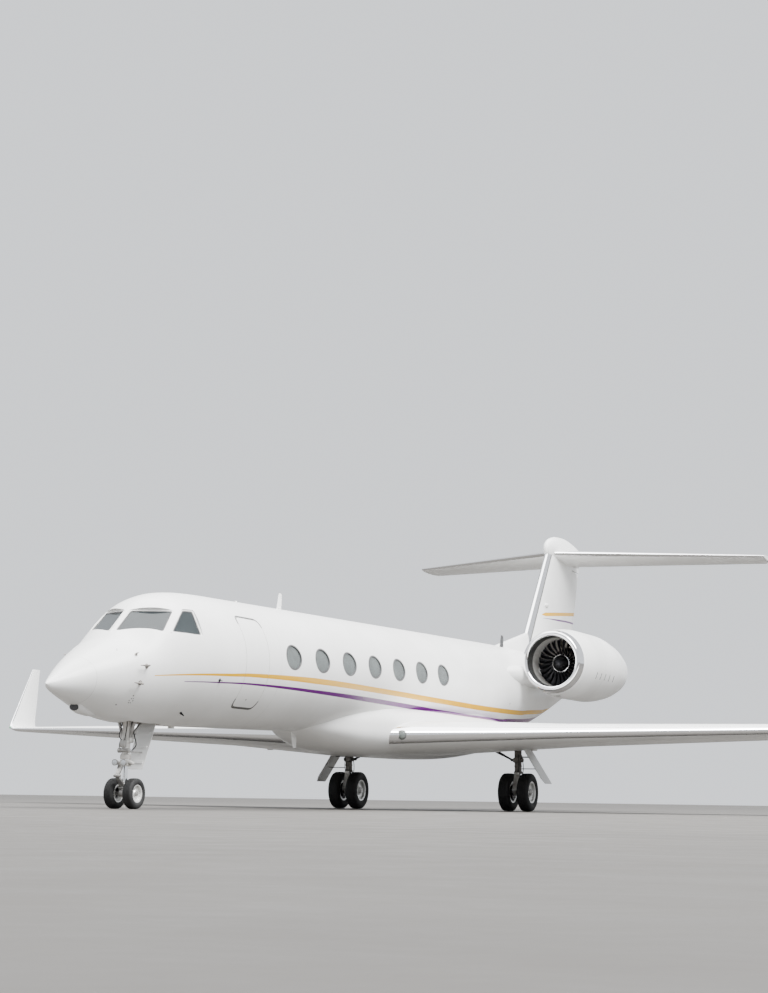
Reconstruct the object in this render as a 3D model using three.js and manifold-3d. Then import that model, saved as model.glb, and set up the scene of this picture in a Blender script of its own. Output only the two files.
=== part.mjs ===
// A twin-engine business jet parked on its landing gear, in millimetres.
// The nose points along -Y, port is +X, +Z is up, and the origin is on the ground at mid length.
import * as THREE from 'three';
import { mergeVertices } from 'three/addons/utils/BufferGeometryUtils.js';
import Module from 'manifold-3d';

const wasm = await Module();
wasm.setup();

// Overall sizes
const overallLength = 29390;
const gap = 0.3;
const wallThickness = 75;
const glassThickness = 32;
const paneRecess = 14;
const cockpitPaneRecess = 6;
const doorGap = 8;
const paneGap = 4;

// The cabin axis rises towards the tail, because the jet sits slightly nose down
const axisHeightAtNose = 2587;
const axisSlope = 0.0198;
const floorBelowAxis = 780;

// Fuselage frames: distance aft of the nose tip, then the crown, keel and widest point above the axis
const hullFrames = [
  { station: 0, crown: -577, keel: -597, waist: -587, halfWidth: 12 },
  { station: 60, crown: -530, keel: -662, waist: -580, halfWidth: 62 },
  { station: 200, crown: -447, keel: -715, waist: -562, halfWidth: 145 },
  { station: 440, crown: -303, keel: -787, waist: -530, halfWidth: 275 },
  { station: 800, crown: -108, keel: -889, waist: -464, halfWidth: 452 },
  { station: 1200, crown: 83, keel: -1003, waist: -390, halfWidth: 630 },
  { station: 1600, crown: 264, keel: -1092, waist: -309, halfWidth: 785 },
  { station: 1870, crown: 378, keel: -1136, waist: -255, halfWidth: 868 },
  { station: 2380, crown: 798, keel: -1180, waist: -170, halfWidth: 985 },
  { station: 2810, crown: 1062, keel: -1195, waist: -105, halfWidth: 1095 },
  { station: 3300, crown: 1174, keel: -1195, waist: -50, halfWidth: 1158 },
  { station: 3900, crown: 1220, keel: -1195, waist: -14, halfWidth: 1186 },
  { station: 4550, crown: 1232, keel: -1195, waist: 0, halfWidth: 1195 },
  { station: 17500, crown: 1232, keel: -1195, waist: 0, halfWidth: 1195 },
  { station: 19000, crown: 1232, keel: -1172, waist: 10, halfWidth: 1176 },
  { station: 20500, crown: 1215, keel: -1050, waist: 50, halfWidth: 1080 },
  { station: 22500, crown: 1146, keel: -665, waist: 190, halfWidth: 850 },
  { station: 24300, crown: 1046, keel: -235, waist: 380, halfWidth: 600 },
  { station: 26000, crown: 934, keel: 205, waist: 570, halfWidth: 350 },
  { station: 27400, crown: 851, keel: 571, waist: 710, halfWidth: 150 },
];
const hullSides = 24;
const liningSides = 16;
const radomeEnd = 800;
const forwardEnd = 6000;
const centreEnd = 15300;
const aftEnd = 24600;
const tailEnd = 27400;
const cavityStart = 1800;
const noseStations = [0, 25, 90, 210, 440];
const cockpitStations = [1150, 1500, 1870, 2130, 2380, 2810, 3300, 3900, 4550];
const tailStations = [17500, 18500, 19500, 20500, 22000, 23500];
const coneStations = [25300, 26400];

// Cabin windows, seven a side
const cabinWindow = { count: 7, first: 6523, pitch: 1248, width: 660, height: 490, aboveAxis: 168 };
const windowBelt = { half: 350, thickness: 12, start: 6040, end: 14560 };

// Cockpit panes on the port side: corners as x, station and height, listed round the pane
const windshieldCorners = [
  { x: 66, station: 1929, height: 3037 },
  { x: 763, station: 2347, height: 3048 },
  { x: 682, station: 2774, height: 3426 },
  { x: 74, station: 2374, height: 3426 },
];
const sideWindowCorners = [
  { x: 855, station: 2504, height: 3046 },
  { x: 1060, station: 3161, height: 3036 },
  { x: 790, station: 3270, height: 3466 },
  { x: 733, station: 3030, height: 3465 },
];
const paneCornerRadius = 45;
const facet = { margin: 25, drop: 12 };

// Entry door on the port side, hinged along its lower edge
const door = { start: 4600, end: 5500, bottom: 1845, top: 3515, cornerRadius: 150 };
const doorSteps = { count: 5, first: 2080, pitch: 300, depth: 190, thickness: 30, width: 640 };

// Nose gear bay, open below
const noseBay = { start: 2170, end: 3230, halfWidth: 250, top: 1790 };

// Wing plan: one row for each break across the span
const wingBreaks = [
  { x: 1000, lead: 10948, trail: 17279, height: 1571, thickness: 780 },
  { x: 4200, lead: 12891, trail: 17550, height: 1686, thickness: 490 },
  { x: 13850, lead: 18748, trail: 20123, height: 2034, thickness: 128 },
];
const aileron = { start: 9600, end: 13150, hingeAt: 0.74, swing: 20 };
const flap = { start: 2950, end: 9450, cutAt: 0.77 };
const endGap = 22;
const hingeClearance = 8;

// Winglet sections: nose of the section, its chord and thickness, and how far it leans from flat
const wingletSections = [
  { x: 13850.3, station: 18748, height: 2034, chord: 1375, thickness: 128, lean: 0 },
  { x: 14000, station: 18850, height: 2078, chord: 1290, thickness: 118, lean: 42 },
  { x: 14085, station: 19010, height: 2230, chord: 1160, thickness: 104, lean: 78 },
  { x: 14150, station: 19540, height: 2950, chord: 790, thickness: 74, lean: 83 },
  { x: 14225, station: 20160, height: 3800, chord: 350, thickness: 40, lean: 84 },
];

// Belly fairing round the wing root
const fairingFrames = [
  { station: 8300, halfWidth: 300, bottom: 1700, top: 2000 },
  { station: 9300, halfWidth: 740, bottom: 1400, top: 2150 },
  { station: 10400, halfWidth: 1030, bottom: 1215, top: 2230 },
  { station: 11800, halfWidth: 1320, bottom: 1145, top: 2290 },
  { station: 14800, halfWidth: 1490, bottom: 1150, top: 2330 },
  { station: 16600, halfWidth: 1420, bottom: 1270, top: 2330 },
  { station: 18100, halfWidth: 1120, bottom: 1560, top: 2300 },
  { station: 19300, halfWidth: 600, bottom: 1960, top: 2270 },
];
const fairingFullness = 2.7;

// Fin and tailplane. Drop is how far a section's trailing edge lies below its leading edge
const finSections = [
  { height: 4020, lead: 22150, trail: 26300, thickness: 440 },
  { height: 7300, lead: 24520, trail: 27370, thickness: 330 },
];
const dorsalFillet = { start: 19700, end: 23300, foot: 4085, peak: 4900, thickness: 150 };
const rudder = { bottom: 4420, top: 6860, hingeAt: 0.7, swing: 22, topGap: 42 };
const bullet = { start: 24340, end: 28150, height: 7310, halfWidth: 255, halfHeight: 430 };
const bulletShape = [
  { along: 0, size: 0.02 },
  { along: 0.02, size: 0.36 },
  { along: 0.08, size: 0.68 },
  { along: 0.2, size: 0.93 },
  { along: 0.36, size: 1 },
  { along: 0.55, size: 0.86 },
  { along: 0.8, size: 0.45 },
  { along: 1, size: 0.04 },
];
const tailplaneSections = [
  { x: 0, lead: 24540, trail: 26770, height: 7190, thickness: 240, drop: 150 },
  { x: 5360, lead: 28010, trail: 29390, height: 7320, thickness: 118, drop: 60 },
];
const elevator = { start: 380, end: 5200, hingeAt: 0.7, swing: 24 };

// Engines: the pod's outline is radius against distance aft of the lip
const engine = { x: 2014, station: 18990, height: 3700, sides: 20 };
const lip = { radius: 66, middle: 688 };
const lipSteps = 4;
const podOutside = [
  { aft: 420, radius: 817 },
  { aft: 1200, radius: 880 },
  { aft: 2600, radius: 880 },
  { aft: 3700, radius: 780 },
  { aft: 4500, radius: 620 },
];
const podInside = [
  { aft: 4500, radius: 592 },
  { aft: 3700, radius: 712 },
  { aft: 2600, radius: 806 },
  { aft: 1500, radius: 800 },
  { aft: 1000, radius: 614 },
  { aft: 450, radius: 614 },
];
const coreOutline = [
  { aft: 980, radius: 0 },
  { aft: 980, radius: 330 },
  { aft: 1400, radius: 430 },
  { aft: 2900, radius: 430 },
  { aft: 3700, radius: 330 },
  { aft: 4650, radius: 60 },
  { aft: 4700, radius: 0 },
];
const strut = { count: 6, start: 1650, end: 1950, thickness: 24 };
const spinnerOutline = [
  { aft: 530, radius: 0 },
  { aft: 546, radius: 70 },
  { aft: 610, radius: 135 },
  { aft: 700, radius: 188 },
  { aft: 800, radius: 220 },
  { aft: 950, radius: 226 },
  { aft: 950, radius: 0 },
];
const blades = { count: 24, tip: 600, root: 206, middle: 850, sweep: 70 };
const bladeSections = [
  { out: 0, halfChord: 62, halfThickness: 9, stagger: 22 },
  { out: 1, halfChord: 84, halfThickness: 4, stagger: 58 },
];
const pylonSections = [
  { x: 600, lead: 17600, trail: 23900, height: 3340, thickness: 560 },
  { x: 1100, lead: 18350, trail: 23700, height: 3370, thickness: 540 },
  { x: 1500, lead: 20000, trail: 23500, height: 3450, thickness: 500 },
];

// Jacking pads: flat discs under the wings and the forward fuselage
const jackPad = { radius: 70 };
const wingPad = { x: 3300, station: 14200, bottom: 1340 };
const nosePad = { station: 4000, bottom: 1445 };

// Landing gear
const noseGear = {
  station: 2500,
  axleHeight: 264,
  tyreRadius: 264,
  tyreWidth: 184,
  rimRadius: 146,
  offset: 190,
};
const mainGear = {
  x: 2185,
  station: 16210,
  axleHeight: 440,
  tyreRadius: 440,
  tyreWidth: 280,
  rimRadius: 236,
  offset: 232,
};
const tyreSides = 20;
const hubSides = 14;

// Bars of the landing gear: both ends as distance outboard of the leg, distance aft of it and height
const noseLegBars = [
  { part: 'cylinder', from: [0, 0, 850], to: [0, 0, 1730], radius: 72, sides: 12 },
  { part: 'collar', from: [0, 0, 850], to: [0, 0, 930], radius: 96, sides: 12 },
  { part: 'trunnion', from: [-235, 0, 1640], to: [235, 0, 1640], radius: 48 },
  { part: 'starboard brace', from: [-190, 0, 1600], to: [0, 0, 1180], radius: 34 },
  { part: 'port brace', from: [190, 0, 1600], to: [0, 0, 1180], radius: 34 },
  { part: 'drag brace', from: [0, 0, 1200], to: [0, 560, 1700], radius: 36 },
  { part: 'brace pivot', from: [-150, 560, 1700], to: [150, 560, 1700], radius: 30 },
];
const noseForkBars = [
  { part: 'steering collar', from: [0, 0, 730], to: [0, 0, 842], radius: 100, sides: 12 },
  { part: 'piston', from: [0, 0, 294], to: [0, 0, 735], radius: 46, sides: 12 },
  { part: 'axle housing', from: [0, 0, 202], to: [0, 0, 339], radius: 66, sides: 12 },
  { part: 'upper torque link', from: [0, -140, 770], to: [0, -250, 560], radius: 30 },
  { part: 'lower torque link', from: [0, -250, 560], to: [0, -40, 350], radius: 30 },
  { part: 'link pin', from: [-80, -250, 560], to: [80, -250, 560], radius: 26 },
  { part: 'steering bar', from: [-150, 30, 785], to: [150, 30, 785], radius: 42 },
];
const noseForkBlocks = [
  { part: 'link bracket', low: [-60, -160, 740], high: [60, -70, 800] },
  { part: 'tow fitting', low: [-40, -120, 234], high: [40, -40, 314] },
];
const mainLegBars = [
  { part: 'cylinder', from: [0, 0, 860], to: [0, -20, 1560], radius: 84, endRadius: 88, sides: 12 },
  { part: 'piston', from: [0, 0, 500], to: [0, 0, 870], radius: 60, sides: 12 },
  { part: 'collar', from: [0, 0, 820], to: [0, 0, 900], radius: 104, sides: 12 },
  { part: 'axle housing', from: [0, 0, 360], to: [0, 0, 540], radius: 80, sides: 12 },
  { part: 'link pin', from: [-60, -150, 640], to: [60, -150, 640], radius: 52 },
  { part: 'upper torque link', from: [0, -60, 900], to: [0, -150, 650], radius: 34 },
  { part: 'lower torque link', from: [0, -150, 640], to: [0, -30, 500], radius: 40 },
  { part: 'brace lug', from: [-125, 0, 1180], to: [125, 0, 1180], radius: 50 },
];
const mainBraceBars = [
  { part: 'front rod', from: [-165, -20, 1190], to: [-625, -60, 1420], radius: 26 },
  { part: 'rear rod', from: [-165, 50, 1190], to: [-625, 80, 1420], radius: 26 },
  { part: 'outboard pin', from: [-170, -60, 1190], to: [-170, 90, 1190], radius: 34 },
  { part: 'inboard pin', from: [-625, -110, 1400], to: [-625, 130, 1400], radius: 30 },
];
const doorLinks = [
  { part: 'upper link', from: [140, -20, 1250], to: [356, -20, 1250], radius: 20 },
  { part: 'lower link', from: [110, -20, 980], to: [530, -20, 980], radius: 12 },
];
const noseDoor = { halfWidth: 175, thickness: 22, lower: [300, 680], upper: [678, 1500] };
const noseDoorArm = [{ part: 'arm', from: [0, 60, 980], to: [0, 470, 980], radius: 12 }];
const mainDoor = { front: -300, back: 230, thickness: 25, upper: [235, 1420], lower: [735, 640] };
const axleBore = { nose: 36, main: 52 };

// Pilot seat and instrument panel, with heights above the cockpit floor
const seatBlocks = [
  { part: 'cushion', inner: 230, outer: 670, front: 3150, back: 3550, low: 15, high: 360 },
  { part: 'back', inner: 230, outer: 670, front: 3500, back: 3620, low: 300, high: 1000 },
  { part: 'headrest', inner: 330, outer: 570, front: 3520, back: 3600, low: 960, high: 1180 },
];
const panelHalfWidth = 680;
const panelOutline = [
  { station: 2420, up: 30 },
  { station: 2560, up: 30 },
  { station: 2640, up: 760 },
  { station: 2480, up: 900 },
  { station: 2300, up: 860 },
];

const paints = {
  white: new THREE.MeshStandardMaterial({ color: 0xf3f2ef, roughness: 0.25, metalness: 0.0 }),
  silver: new THREE.MeshStandardMaterial({ color: 0xc9cacb, roughness: 0.2, metalness: 1.0 }),
  steel: new THREE.MeshStandardMaterial({ color: 0x9a9b9c, roughness: 0.4, metalness: 0.9 }),
  dark: new THREE.MeshStandardMaterial({ color: 0x2b2d31, roughness: 0.4, metalness: 0.8 }),
  glass: new THREE.MeshStandardMaterial({ color: 0x5f6b70, roughness: 0.05, metalness: 0.0 }),
  shade: new THREE.MeshStandardMaterial({ color: 0xb9bdb8, roughness: 0.3, metalness: 0.0 }),
  rubber: new THREE.MeshStandardMaterial({ color: 0x141414, roughness: 0.9, metalness: 0.0 }),
  seat: new THREE.MeshStandardMaterial({ color: 0x4a4744, roughness: 0.7, metalness: 0.0 }),
};

const jet = new THREE.Group();

// Places along the fuselage
function yAt(station) {
  return station - overallLength / 2;
}

function axisAt(station) {
  return axisHeightAtNose + axisSlope * station;
}

function radians(degrees) {
  return THREE.MathUtils.degToRad(degrees);
}

function mix(a, b, t) {
  return a + (b - a) * t;
}

// A column of a table between its rows, either straight or on a smooth curve through them
function between(rows, key, place, column, smooth) {
  let i = 0;
  while (i < rows.length - 2 && rows[i + 1][key] < place) {
    i += 1;
  }
  const [a, b] = [rows[i], rows[i + 1]];
  const span = b[key] - a[key];
  const t = (place - a[key]) / span;
  if (!smooth) {
    return mix(a[column], b[column], t);
  }
  const slope = (p, q) => (q[column] - p[column]) / (q[key] - p[key]);
  const here = slope(a, b);
  const before = i > 0 ? gentler(slope(rows[i - 1], a), here) : here;
  const after = i + 2 < rows.length ? gentler(here, slope(b, rows[i + 2])) : here;
  const t2 = t * t;
  const t3 = t2 * t;
  return (
    (2 * t3 - 3 * t2 + 1) * a[column] +
    (t3 - 2 * t2 + t) * span * before +
    (3 * t2 - 2 * t3) * b[column] +
    (t3 - t2) * span * after
  );
}

// The slope at a row, with no overshoot beside a straight stretch
function gentler(p, q) {
  return p * q <= 0 ? 0 : (2 * p * q) / (p + q);
}

// A closed mesh as a solid, turned right side out
function solidFrom(points, faces) {
  const position = new THREE.Float32BufferAttribute(points, 3);
  const geometry = new THREE.BufferGeometry();
  geometry.setAttribute('position', position);
  geometry.setIndex(faces);
  const merged = mergeVertices(geometry, 0.01);
  const index = merged.index.array;
  const at = merged.attributes.position;
  const corner = (i) => new THREE.Vector3().fromBufferAttribute(at, i);
  const kept = [];
  let volume = 0;
  for (let i = 0; i < index.length; i += 3) {
    const [a, b, c] = [index[i], index[i + 1], index[i + 2]];
    if (a !== b && b !== c && c !== a) {
      kept.push([a, b, c]);
      volume += corner(a).dot(corner(b).cross(corner(c)));
    }
  }
  const facing = volume > 0 ? kept : kept.map(([a, b, c]) => [a, c, b]);
  const mesh = new wasm.Mesh({
    numProp: 3,
    vertProperties: new Float32Array(at.array),
    triVerts: new Uint32Array(facing.flat()),
  });
  return new wasm.Manifold(mesh);
}

function fromGeometry(geometry, matrix) {
  const shape = geometry.clone();
  if (matrix) {
    shape.applyMatrix4(matrix);
  }
  const points = Array.from(shape.attributes.position.array);
  const order = [...Array(points.length / 3).keys()];
  return solidFrom(points, shape.index ? Array.from(shape.index.array) : order);
}

// A skin through a row of rings, closed at both ends
function loft(rings) {
  const count = rings[0].length;
  const points = rings.flat();
  const faces = [];
  for (let r = 0; r + 1 < rings.length; r += 1) {
    for (let i = 0; i < count; i += 1) {
      const a = r * count + i;
      const b = r * count + ((i + 1) % count);
      faces.push(a, b, b + count, a, b + count, a + count);
    }
  }
  for (const [ring, flip] of [[0, true], [rings.length - 1, false]]) {
    const middle = points.length;
    const centre = new THREE.Vector3();
    rings[ring].forEach((p) => centre.addScaledVector(p, 1 / count));
    points.push(centre);
    for (let i = 0; i < count; i += 1) {
      const a = ring * count + i;
      const b = ring * count + ((i + 1) % count);
      faces.push(...(flip ? [b, a, middle] : [a, b, middle]));
    }
  }
  return solidFrom(points.flatMap((p) => [p.x, p.y, p.z]), faces);
}

function box(low, high) {
  const size = high.map((value, i) => value - low[i]);
  const middle = high.map((value, i) => (value + low[i]) / 2);
  return fromGeometry(new THREE.BoxGeometry(...size), new THREE.Matrix4().makeTranslation(...middle));
}

// An outline of [across, up] pairs pushed along one axis.
// Axis 'x' takes (y, z) pairs, 'y' takes (x, z) and 'z' takes (x, y).
function prism(outline, axis, from, to) {
  const shape = new THREE.Shape(outline.map(([a, b]) => new THREE.Vector2(a, b)));
  const geometry = new THREE.ExtrudeGeometry(shape, { depth: to - from, bevelEnabled: false });
  const [x, y, z] = [new THREE.Vector3(1, 0, 0), new THREE.Vector3(0, 1, 0), new THREE.Vector3(0, 0, 1)];
  const turn = new THREE.Matrix4();
  if (axis === 'x') {
    turn.makeBasis(y, z, x).setPosition(from, 0, 0);
  } else if (axis === 'y') {
    turn.makeBasis(x, z, y.clone().negate()).setPosition(0, to, 0);
  } else {
    turn.setPosition(0, 0, from);
  }
  return fromGeometry(geometry, turn);
}

// A round bar or cone between two points
function bar(from, to, radius, endRadius = radius, sides = 10) {
  const start = new THREE.Vector3(...from);
  const end = new THREE.Vector3(...to);
  const length = start.distanceTo(end);
  const geometry = new THREE.CylinderGeometry(endRadius, radius, length, sides);
  const up = new THREE.Vector3(0, 1, 0);
  const turn = new THREE.Quaternion().setFromUnitVectors(up, end.clone().sub(start).normalize());
  const place = new THREE.Matrix4().compose(start.clone().lerp(end, 0.5), turn, new THREE.Vector3(1, 1, 1));
  return fromGeometry(geometry, place);
}

function mirrored(solid) {
  const mesh = solid.getMesh();
  const points = Array.from(mesh.vertProperties);
  for (let i = 0; i < points.length; i += 3) {
    points[i] = -points[i];
  }
  return solidFrom(points, Array.from(mesh.triVerts));
}

function joined(solids) {
  return solids.reduce((whole, piece) => whole.add(piece));
}

function addPiece(name, solid, material) {
  const mesh = solid.getMesh();
  const geometry = new THREE.BufferGeometry();
  geometry.setAttribute('position', new THREE.Float32BufferAttribute(mesh.vertProperties, 3));
  geometry.setIndex(Array.from(mesh.triVerts));
  const piece = new THREE.Mesh(geometry, material);
  piece.name = name;
  jet.add(piece);
}

function addPair(name, portSolid, material) {
  addPiece(`${name}_left`, portSolid, material);
  addPiece(`${name}_right`, mirrored(portSolid), material);
}

// Fuselage
function hullRing(station, inset, sides) {
  const column = (name) => between(hullFrames, 'station', station, name, true);
  const waist = column('waist');
  const width = Math.max(column('halfWidth') - inset, 4);
  const ring = [];
  for (let i = 0; i < sides; i += 1) {
    const angle = (2 * Math.PI * i) / sides;
    const reach = Math.sin(angle) > 0 ? column('crown') - waist : waist - column('keel');
    const height = axisAt(station) + waist + Math.max(reach - inset, 4) * Math.sin(angle);
    ring.push(new THREE.Vector3(width * Math.cos(angle), yAt(station), height));
  }
  return ring;
}

// How far out the skin is at a height
function skinAt(station, height) {
  const column = (name) => between(hullFrames, 'station', station, name, true);
  const up = height - axisAt(station) - column('waist');
  const reach = up > 0 ? column('crown') - column('waist') : column('waist') - column('keel');
  return column('halfWidth') * Math.sqrt(1 - (up / reach) ** 2);
}

function hull(stations, inset = 0, sides = hullSides) {
  return loft(stations.map((station) => hullRing(station, inset, sides)));
}

function hollow(inset, sides) {
  return hull([cavityStart, ...cockpitStations.slice(3), ...tailStations, aftEnd + 50], inset, sides);
}

// The space inside the cockpit, cabin and tail, above the floor as far as the cabin goes
function cavity() {
  const floorAt = (station) => axisAt(station) - floorBelowAxis;
  const ends = [cavityStart - 100, centreEnd];
  const below = prism([
    [yAt(ends[0]), 0],
    [yAt(ends[1]), 0],
    [yAt(ends[1]), floorAt(ends[1])],
    [yAt(ends[0]), floorAt(ends[0])],
  ], 'x', -2000, 2000);
  return hollow(wallThickness, liningSides).subtract(below);
}

// A convex outline moved inwards, or outwards when the amount is negative
function insetOutline(points, amount) {
  const middle = points.reduce((sum, p) => sum.add(p), new THREE.Vector2()).divideScalar(points.length);
  return points.map((point, i) => {
    const before = points[(i + points.length - 1) % points.length];
    const after = points[(i + 1) % points.length];
    const edges = [point.clone().sub(before).normalize(), after.clone().sub(point).normalize()];
    const inward = edges.map((edge) => new THREE.Vector2(-edge.y, edge.x));
    inward.forEach((n) => n.multiplyScalar(Math.sign(n.dot(middle.clone().sub(point)))));
    const bisector = inward[0].clone().add(inward[1]).normalize();
    return point.clone().addScaledVector(bisector, amount / bisector.dot(inward[0]));
  });
}

function roundedShape(points, radius) {
  const shape = new THREE.Shape();
  points.forEach((point, i) => {
    const before = points[(i + points.length - 1) % points.length];
    const after = points[(i + 1) % points.length];
    const enter = point.clone().add(before.clone().sub(point).setLength(radius));
    const leave = point.clone().add(after.clone().sub(point).setLength(radius));
    if (i === 0) {
      shape.moveTo(enter.x, enter.y);
    } else {
      shape.lineTo(enter.x, enter.y);
    }
    shape.quadraticCurveTo(point.x, point.y, leave.x, leave.y);
  });
  shape.closePath();
  return shape;
}

// The flat frame of a cockpit pane: its middle, its directions and its corners in them
function paneFrame(corners) {
  const points = corners.map((c) => new THREE.Vector3(c.x, yAt(c.station), c.height));
  const [a, b, c, d] = points;
  const middle = points.reduce((sum, p) => sum.add(p), new THREE.Vector3()).divideScalar(points.length);
  const normal = c.clone().sub(a).cross(d.clone().sub(b)).normalize();
  const edge = b.clone().sub(a);
  const along = edge.addScaledVector(normal, -edge.dot(normal)).normalize();
  const across = normal.clone().cross(along);
  const flat = points.map((p) => {
    const offset = p.clone().sub(middle);
    return new THREE.Vector2(offset.dot(along), offset.dot(across));
  });
  return { middle, along, across, normal, flat };
}

// A block square to a cockpit pane, between two distances out of its plane
function paneBlock(corners, inset, low, high) {
  const { middle, along, across, normal, flat } = paneFrame(corners);
  const shape = roundedShape(insetOutline(flat, inset), paneCornerRadius);
  const options = { depth: high - low, bevelEnabled: false, curveSegments: 3 };
  const geometry = new THREE.ExtrudeGeometry(shape, options);
  const start = middle.addScaledVector(normal, low);
  return fromGeometry(geometry, new THREE.Matrix4().makeBasis(along, across, normal).setPosition(start));
}

// The outline of one cabin window seen from the side
function windowBlock(number, inset, from, to) {
  const station = cabinWindow.first + number * cabinWindow.pitch;
  const middle = [yAt(station), axisAt(station) + cabinWindow.aboveAxis];
  const outline = [];
  const sides = 10;
  for (let i = 0; i < sides; i += 1) {
    const angle = (2 * Math.PI * i) / sides;
    const wide = (cabinWindow.width / 2 - inset) * Math.cos(angle);
    const high = (cabinWindow.height / 2 - inset) * Math.sin(angle);
    outline.push([middle[0] + wide, middle[1] + high]);
  }
  return prism(outline, 'x', from, to);
}

// The door outline seen from the side, with round corners
function doorBlock(inset) {
  const low = [yAt(door.start), door.bottom];
  const high = [yAt(door.end), door.top];
  const corners = [[low[0], low[1]], [high[0], low[1]], [high[0], high[1]], [low[0], high[1]]];
  const outline = insetOutline(corners.map(([a, b]) => new THREE.Vector2(a, b)), inset);
  const shape = roundedShape(outline, door.cornerRadius - inset);
  const points = shape.getPoints(4).map((p) => [p.x, p.y]);
  points.pop();
  // The upper edge slopes down inwards, so the door swings out past its frame
  const slope = prism([
    [300, door.bottom - 60],
    [1500, door.bottom - 60],
    [1500, door.top + 40 - inset],
    [820, door.top - inset],
    [300, door.top - 120 - inset],
  ], 'y', yAt(door.start) - 50, yAt(door.end) + 50);
  return prism(points, 'x', 300, 1500).intersect(slope);
}

function makeFuselage() {
  const inside = cavity();
  const panes = { windshield: windshieldCorners, side_window: sideWindowCorners };
  let forward = hull([radomeEnd + gap, ...cockpitStations, forwardEnd]).subtract(inside);
  for (const [name, corners] of Object.entries(panes)) {
    // The skin is flat round each pane, so that a flat pane fits it
    const flatArea = paneBlock(corners, -facet.margin, -facet.drop, 300);
    const hole = paneBlock(corners, 0, -250, 300);
    const glassFace = -facet.drop - cockpitPaneRecess;
    for (const space of [flatArea, hole]) {
      forward = forward.subtract(space).subtract(mirrored(space));
    }
    addPair(name, paneBlock(corners, paneGap, glassFace - glassThickness, glassFace), paints.glass);
  }
  const wall = hull([door.start - 300, door.start - 20, door.end + 20, door.end + 300]).subtract(inside);
  forward = forward.subtract(doorBlock(0));
  forward = forward.subtract(box(
    [-noseBay.halfWidth, yAt(noseBay.start), 1200],
    [noseBay.halfWidth, yAt(noseBay.end), noseBay.top],
  ));
  const padPlace = [0, yAt(nosePad.station)];
  const padHeights = [nosePad.bottom, nosePad.bottom + 60];
  forward = forward.add(bar(...padHeights.map((height) => [...padPlace, height]), jackPad.radius));
  const steps = [];
  for (let i = 0; i < doorSteps.count; i += 1) {
    const height = doorSteps.first + i * doorSteps.pitch;
    const skin = skinAt(door.start, height);
    const middle = yAt((door.start + door.end) / 2);
    steps.push(box(
      [skin - wallThickness - doorSteps.depth, middle - doorSteps.width / 2, height],
      [skin - wallThickness + 40, middle + doorSteps.width / 2, height + doorSteps.thickness],
    ));
  }
  const doorSkin = wall.intersect(doorBlock(doorGap));
  addPiece('entry_door', joined([doorSkin, ...steps]), paints.white);

  let centre = hull([forwardEnd + gap, centreEnd]).subtract(inside);
  for (let i = 0; i < cabinWindow.count; i += 1) {
    centre = centre.subtract(windowBlock(i, 0, -1400, 1400));
  }
  addPiece('radome', hull([...noseStations, radomeEnd]), paints.white);
  addPiece('forward_fuselage', forward, paints.white);
  addPiece('centre_fuselage', centre, paints.white);
  const aft = hull([centreEnd + gap, ...tailStations, aftEnd]).subtract(inside);
  addPiece('aft_fuselage', aft, paints.white);
  const cone = hull([aftEnd + gap, ...coneStations, tailEnd]);
  const coneInside = hull([aftEnd - 50, ...coneStations], wallThickness, liningSides);
  addPiece('tail_cone', cone.subtract(coneInside), paints.white);
}

// Window panes of one side, carried by the trim panel behind the wall
function makeCabinWindows() {
  const { start, end, thickness } = windowBelt;
  const lining = (inset, spare) => hull([start - spare, end + spare], inset, liningSides);
  const inner = lining(wallThickness + thickness, 50);
  const panelShell = lining(wallThickness + gap, 0).subtract(inner);
  const beltAt = (station, side) => axisAt(station) + cabinWindow.aboveAxis + side * windowBelt.half;
  const belt = prism([
    [yAt(start), beltAt(start, -1)],
    [yAt(end), beltAt(end, -1)],
    [yAt(end), beltAt(end, 1)],
    [yAt(start), beltAt(start, 1)],
  ], 'x', 200, 1400);
  const skin = hull([start, end], paneRecess).subtract(lining(wallThickness + 4, 50));
  const panes = [];
  for (let i = 0; i < cabinWindow.count; i += 1) {
    panes.push(skin.intersect(windowBlock(i, paneGap, 200, 1400)));
  }
  addPair('cabin_windows', joined([panelShell.intersect(belt), ...panes]), paints.shade);
}

// A symmetric aerofoil section. Lean 0 stands its thickness upright, as on a wing
const foilPlaces = [0, 0.006, 0.025, 0.07, 0.15, 0.27, 0.42, 0.58, 0.75, 1];
const trailThickness = 10;

// Terms of the usual thickness curve: the square root of the place, then its powers
const foilCurve = [0.2969, -0.126, -0.3516, 0.2843, -0.1036];

function foilHalf(place, thickness) {
  const [root, ...powers] = foilCurve;
  const rise = powers.reduce((sum, term, i) => sum + term * place ** (i + 1), root * Math.sqrt(place));
  return 5 * thickness * rise + (trailThickness / 2) * place;
}

function foilRing(nose, chord, thickness, lean, grow = 0, drop = 0) {
  const across = new THREE.Vector3(-Math.sin(radians(lean)), 0, Math.cos(radians(lean)));
  const upper = foilPlaces.map((place) => [place, foilHalf(place, thickness) + grow]);
  const lower = foilPlaces.slice(1).reverse().map((place) => [place, -foilHalf(place, thickness) - grow]);
  return [...upper, ...lower].map(([place, half]) => {
    const along = place * chord + (2 * place - 1) * grow;
    return nose.clone().add(new THREE.Vector3(0, along, -place * drop)).addScaledVector(across, half);
  });
}

// Wing-like surfaces, from rows of x, lead, trail, height and thickness
function surface(rows, grow = 0) {
  return loft(rows.map((row) => {
    const nose = new THREE.Vector3(row.x, yAt(row.lead), row.height);
    return foilRing(nose, row.trail - row.lead, row.thickness, 0, grow, row.drop);
  }));
}

// The point on a surface's mean plane at a fraction of its chord, with the half thickness there
function chordPoint(rows, key, place, fraction) {
  const column = (name) => between(rows, key, place, name, false);
  const lead = column('lead');
  const chord = column('trail') - lead;
  return { y: yAt(lead + fraction * chord), half: foilHalf(fraction, column('thickness')) };
}

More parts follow.
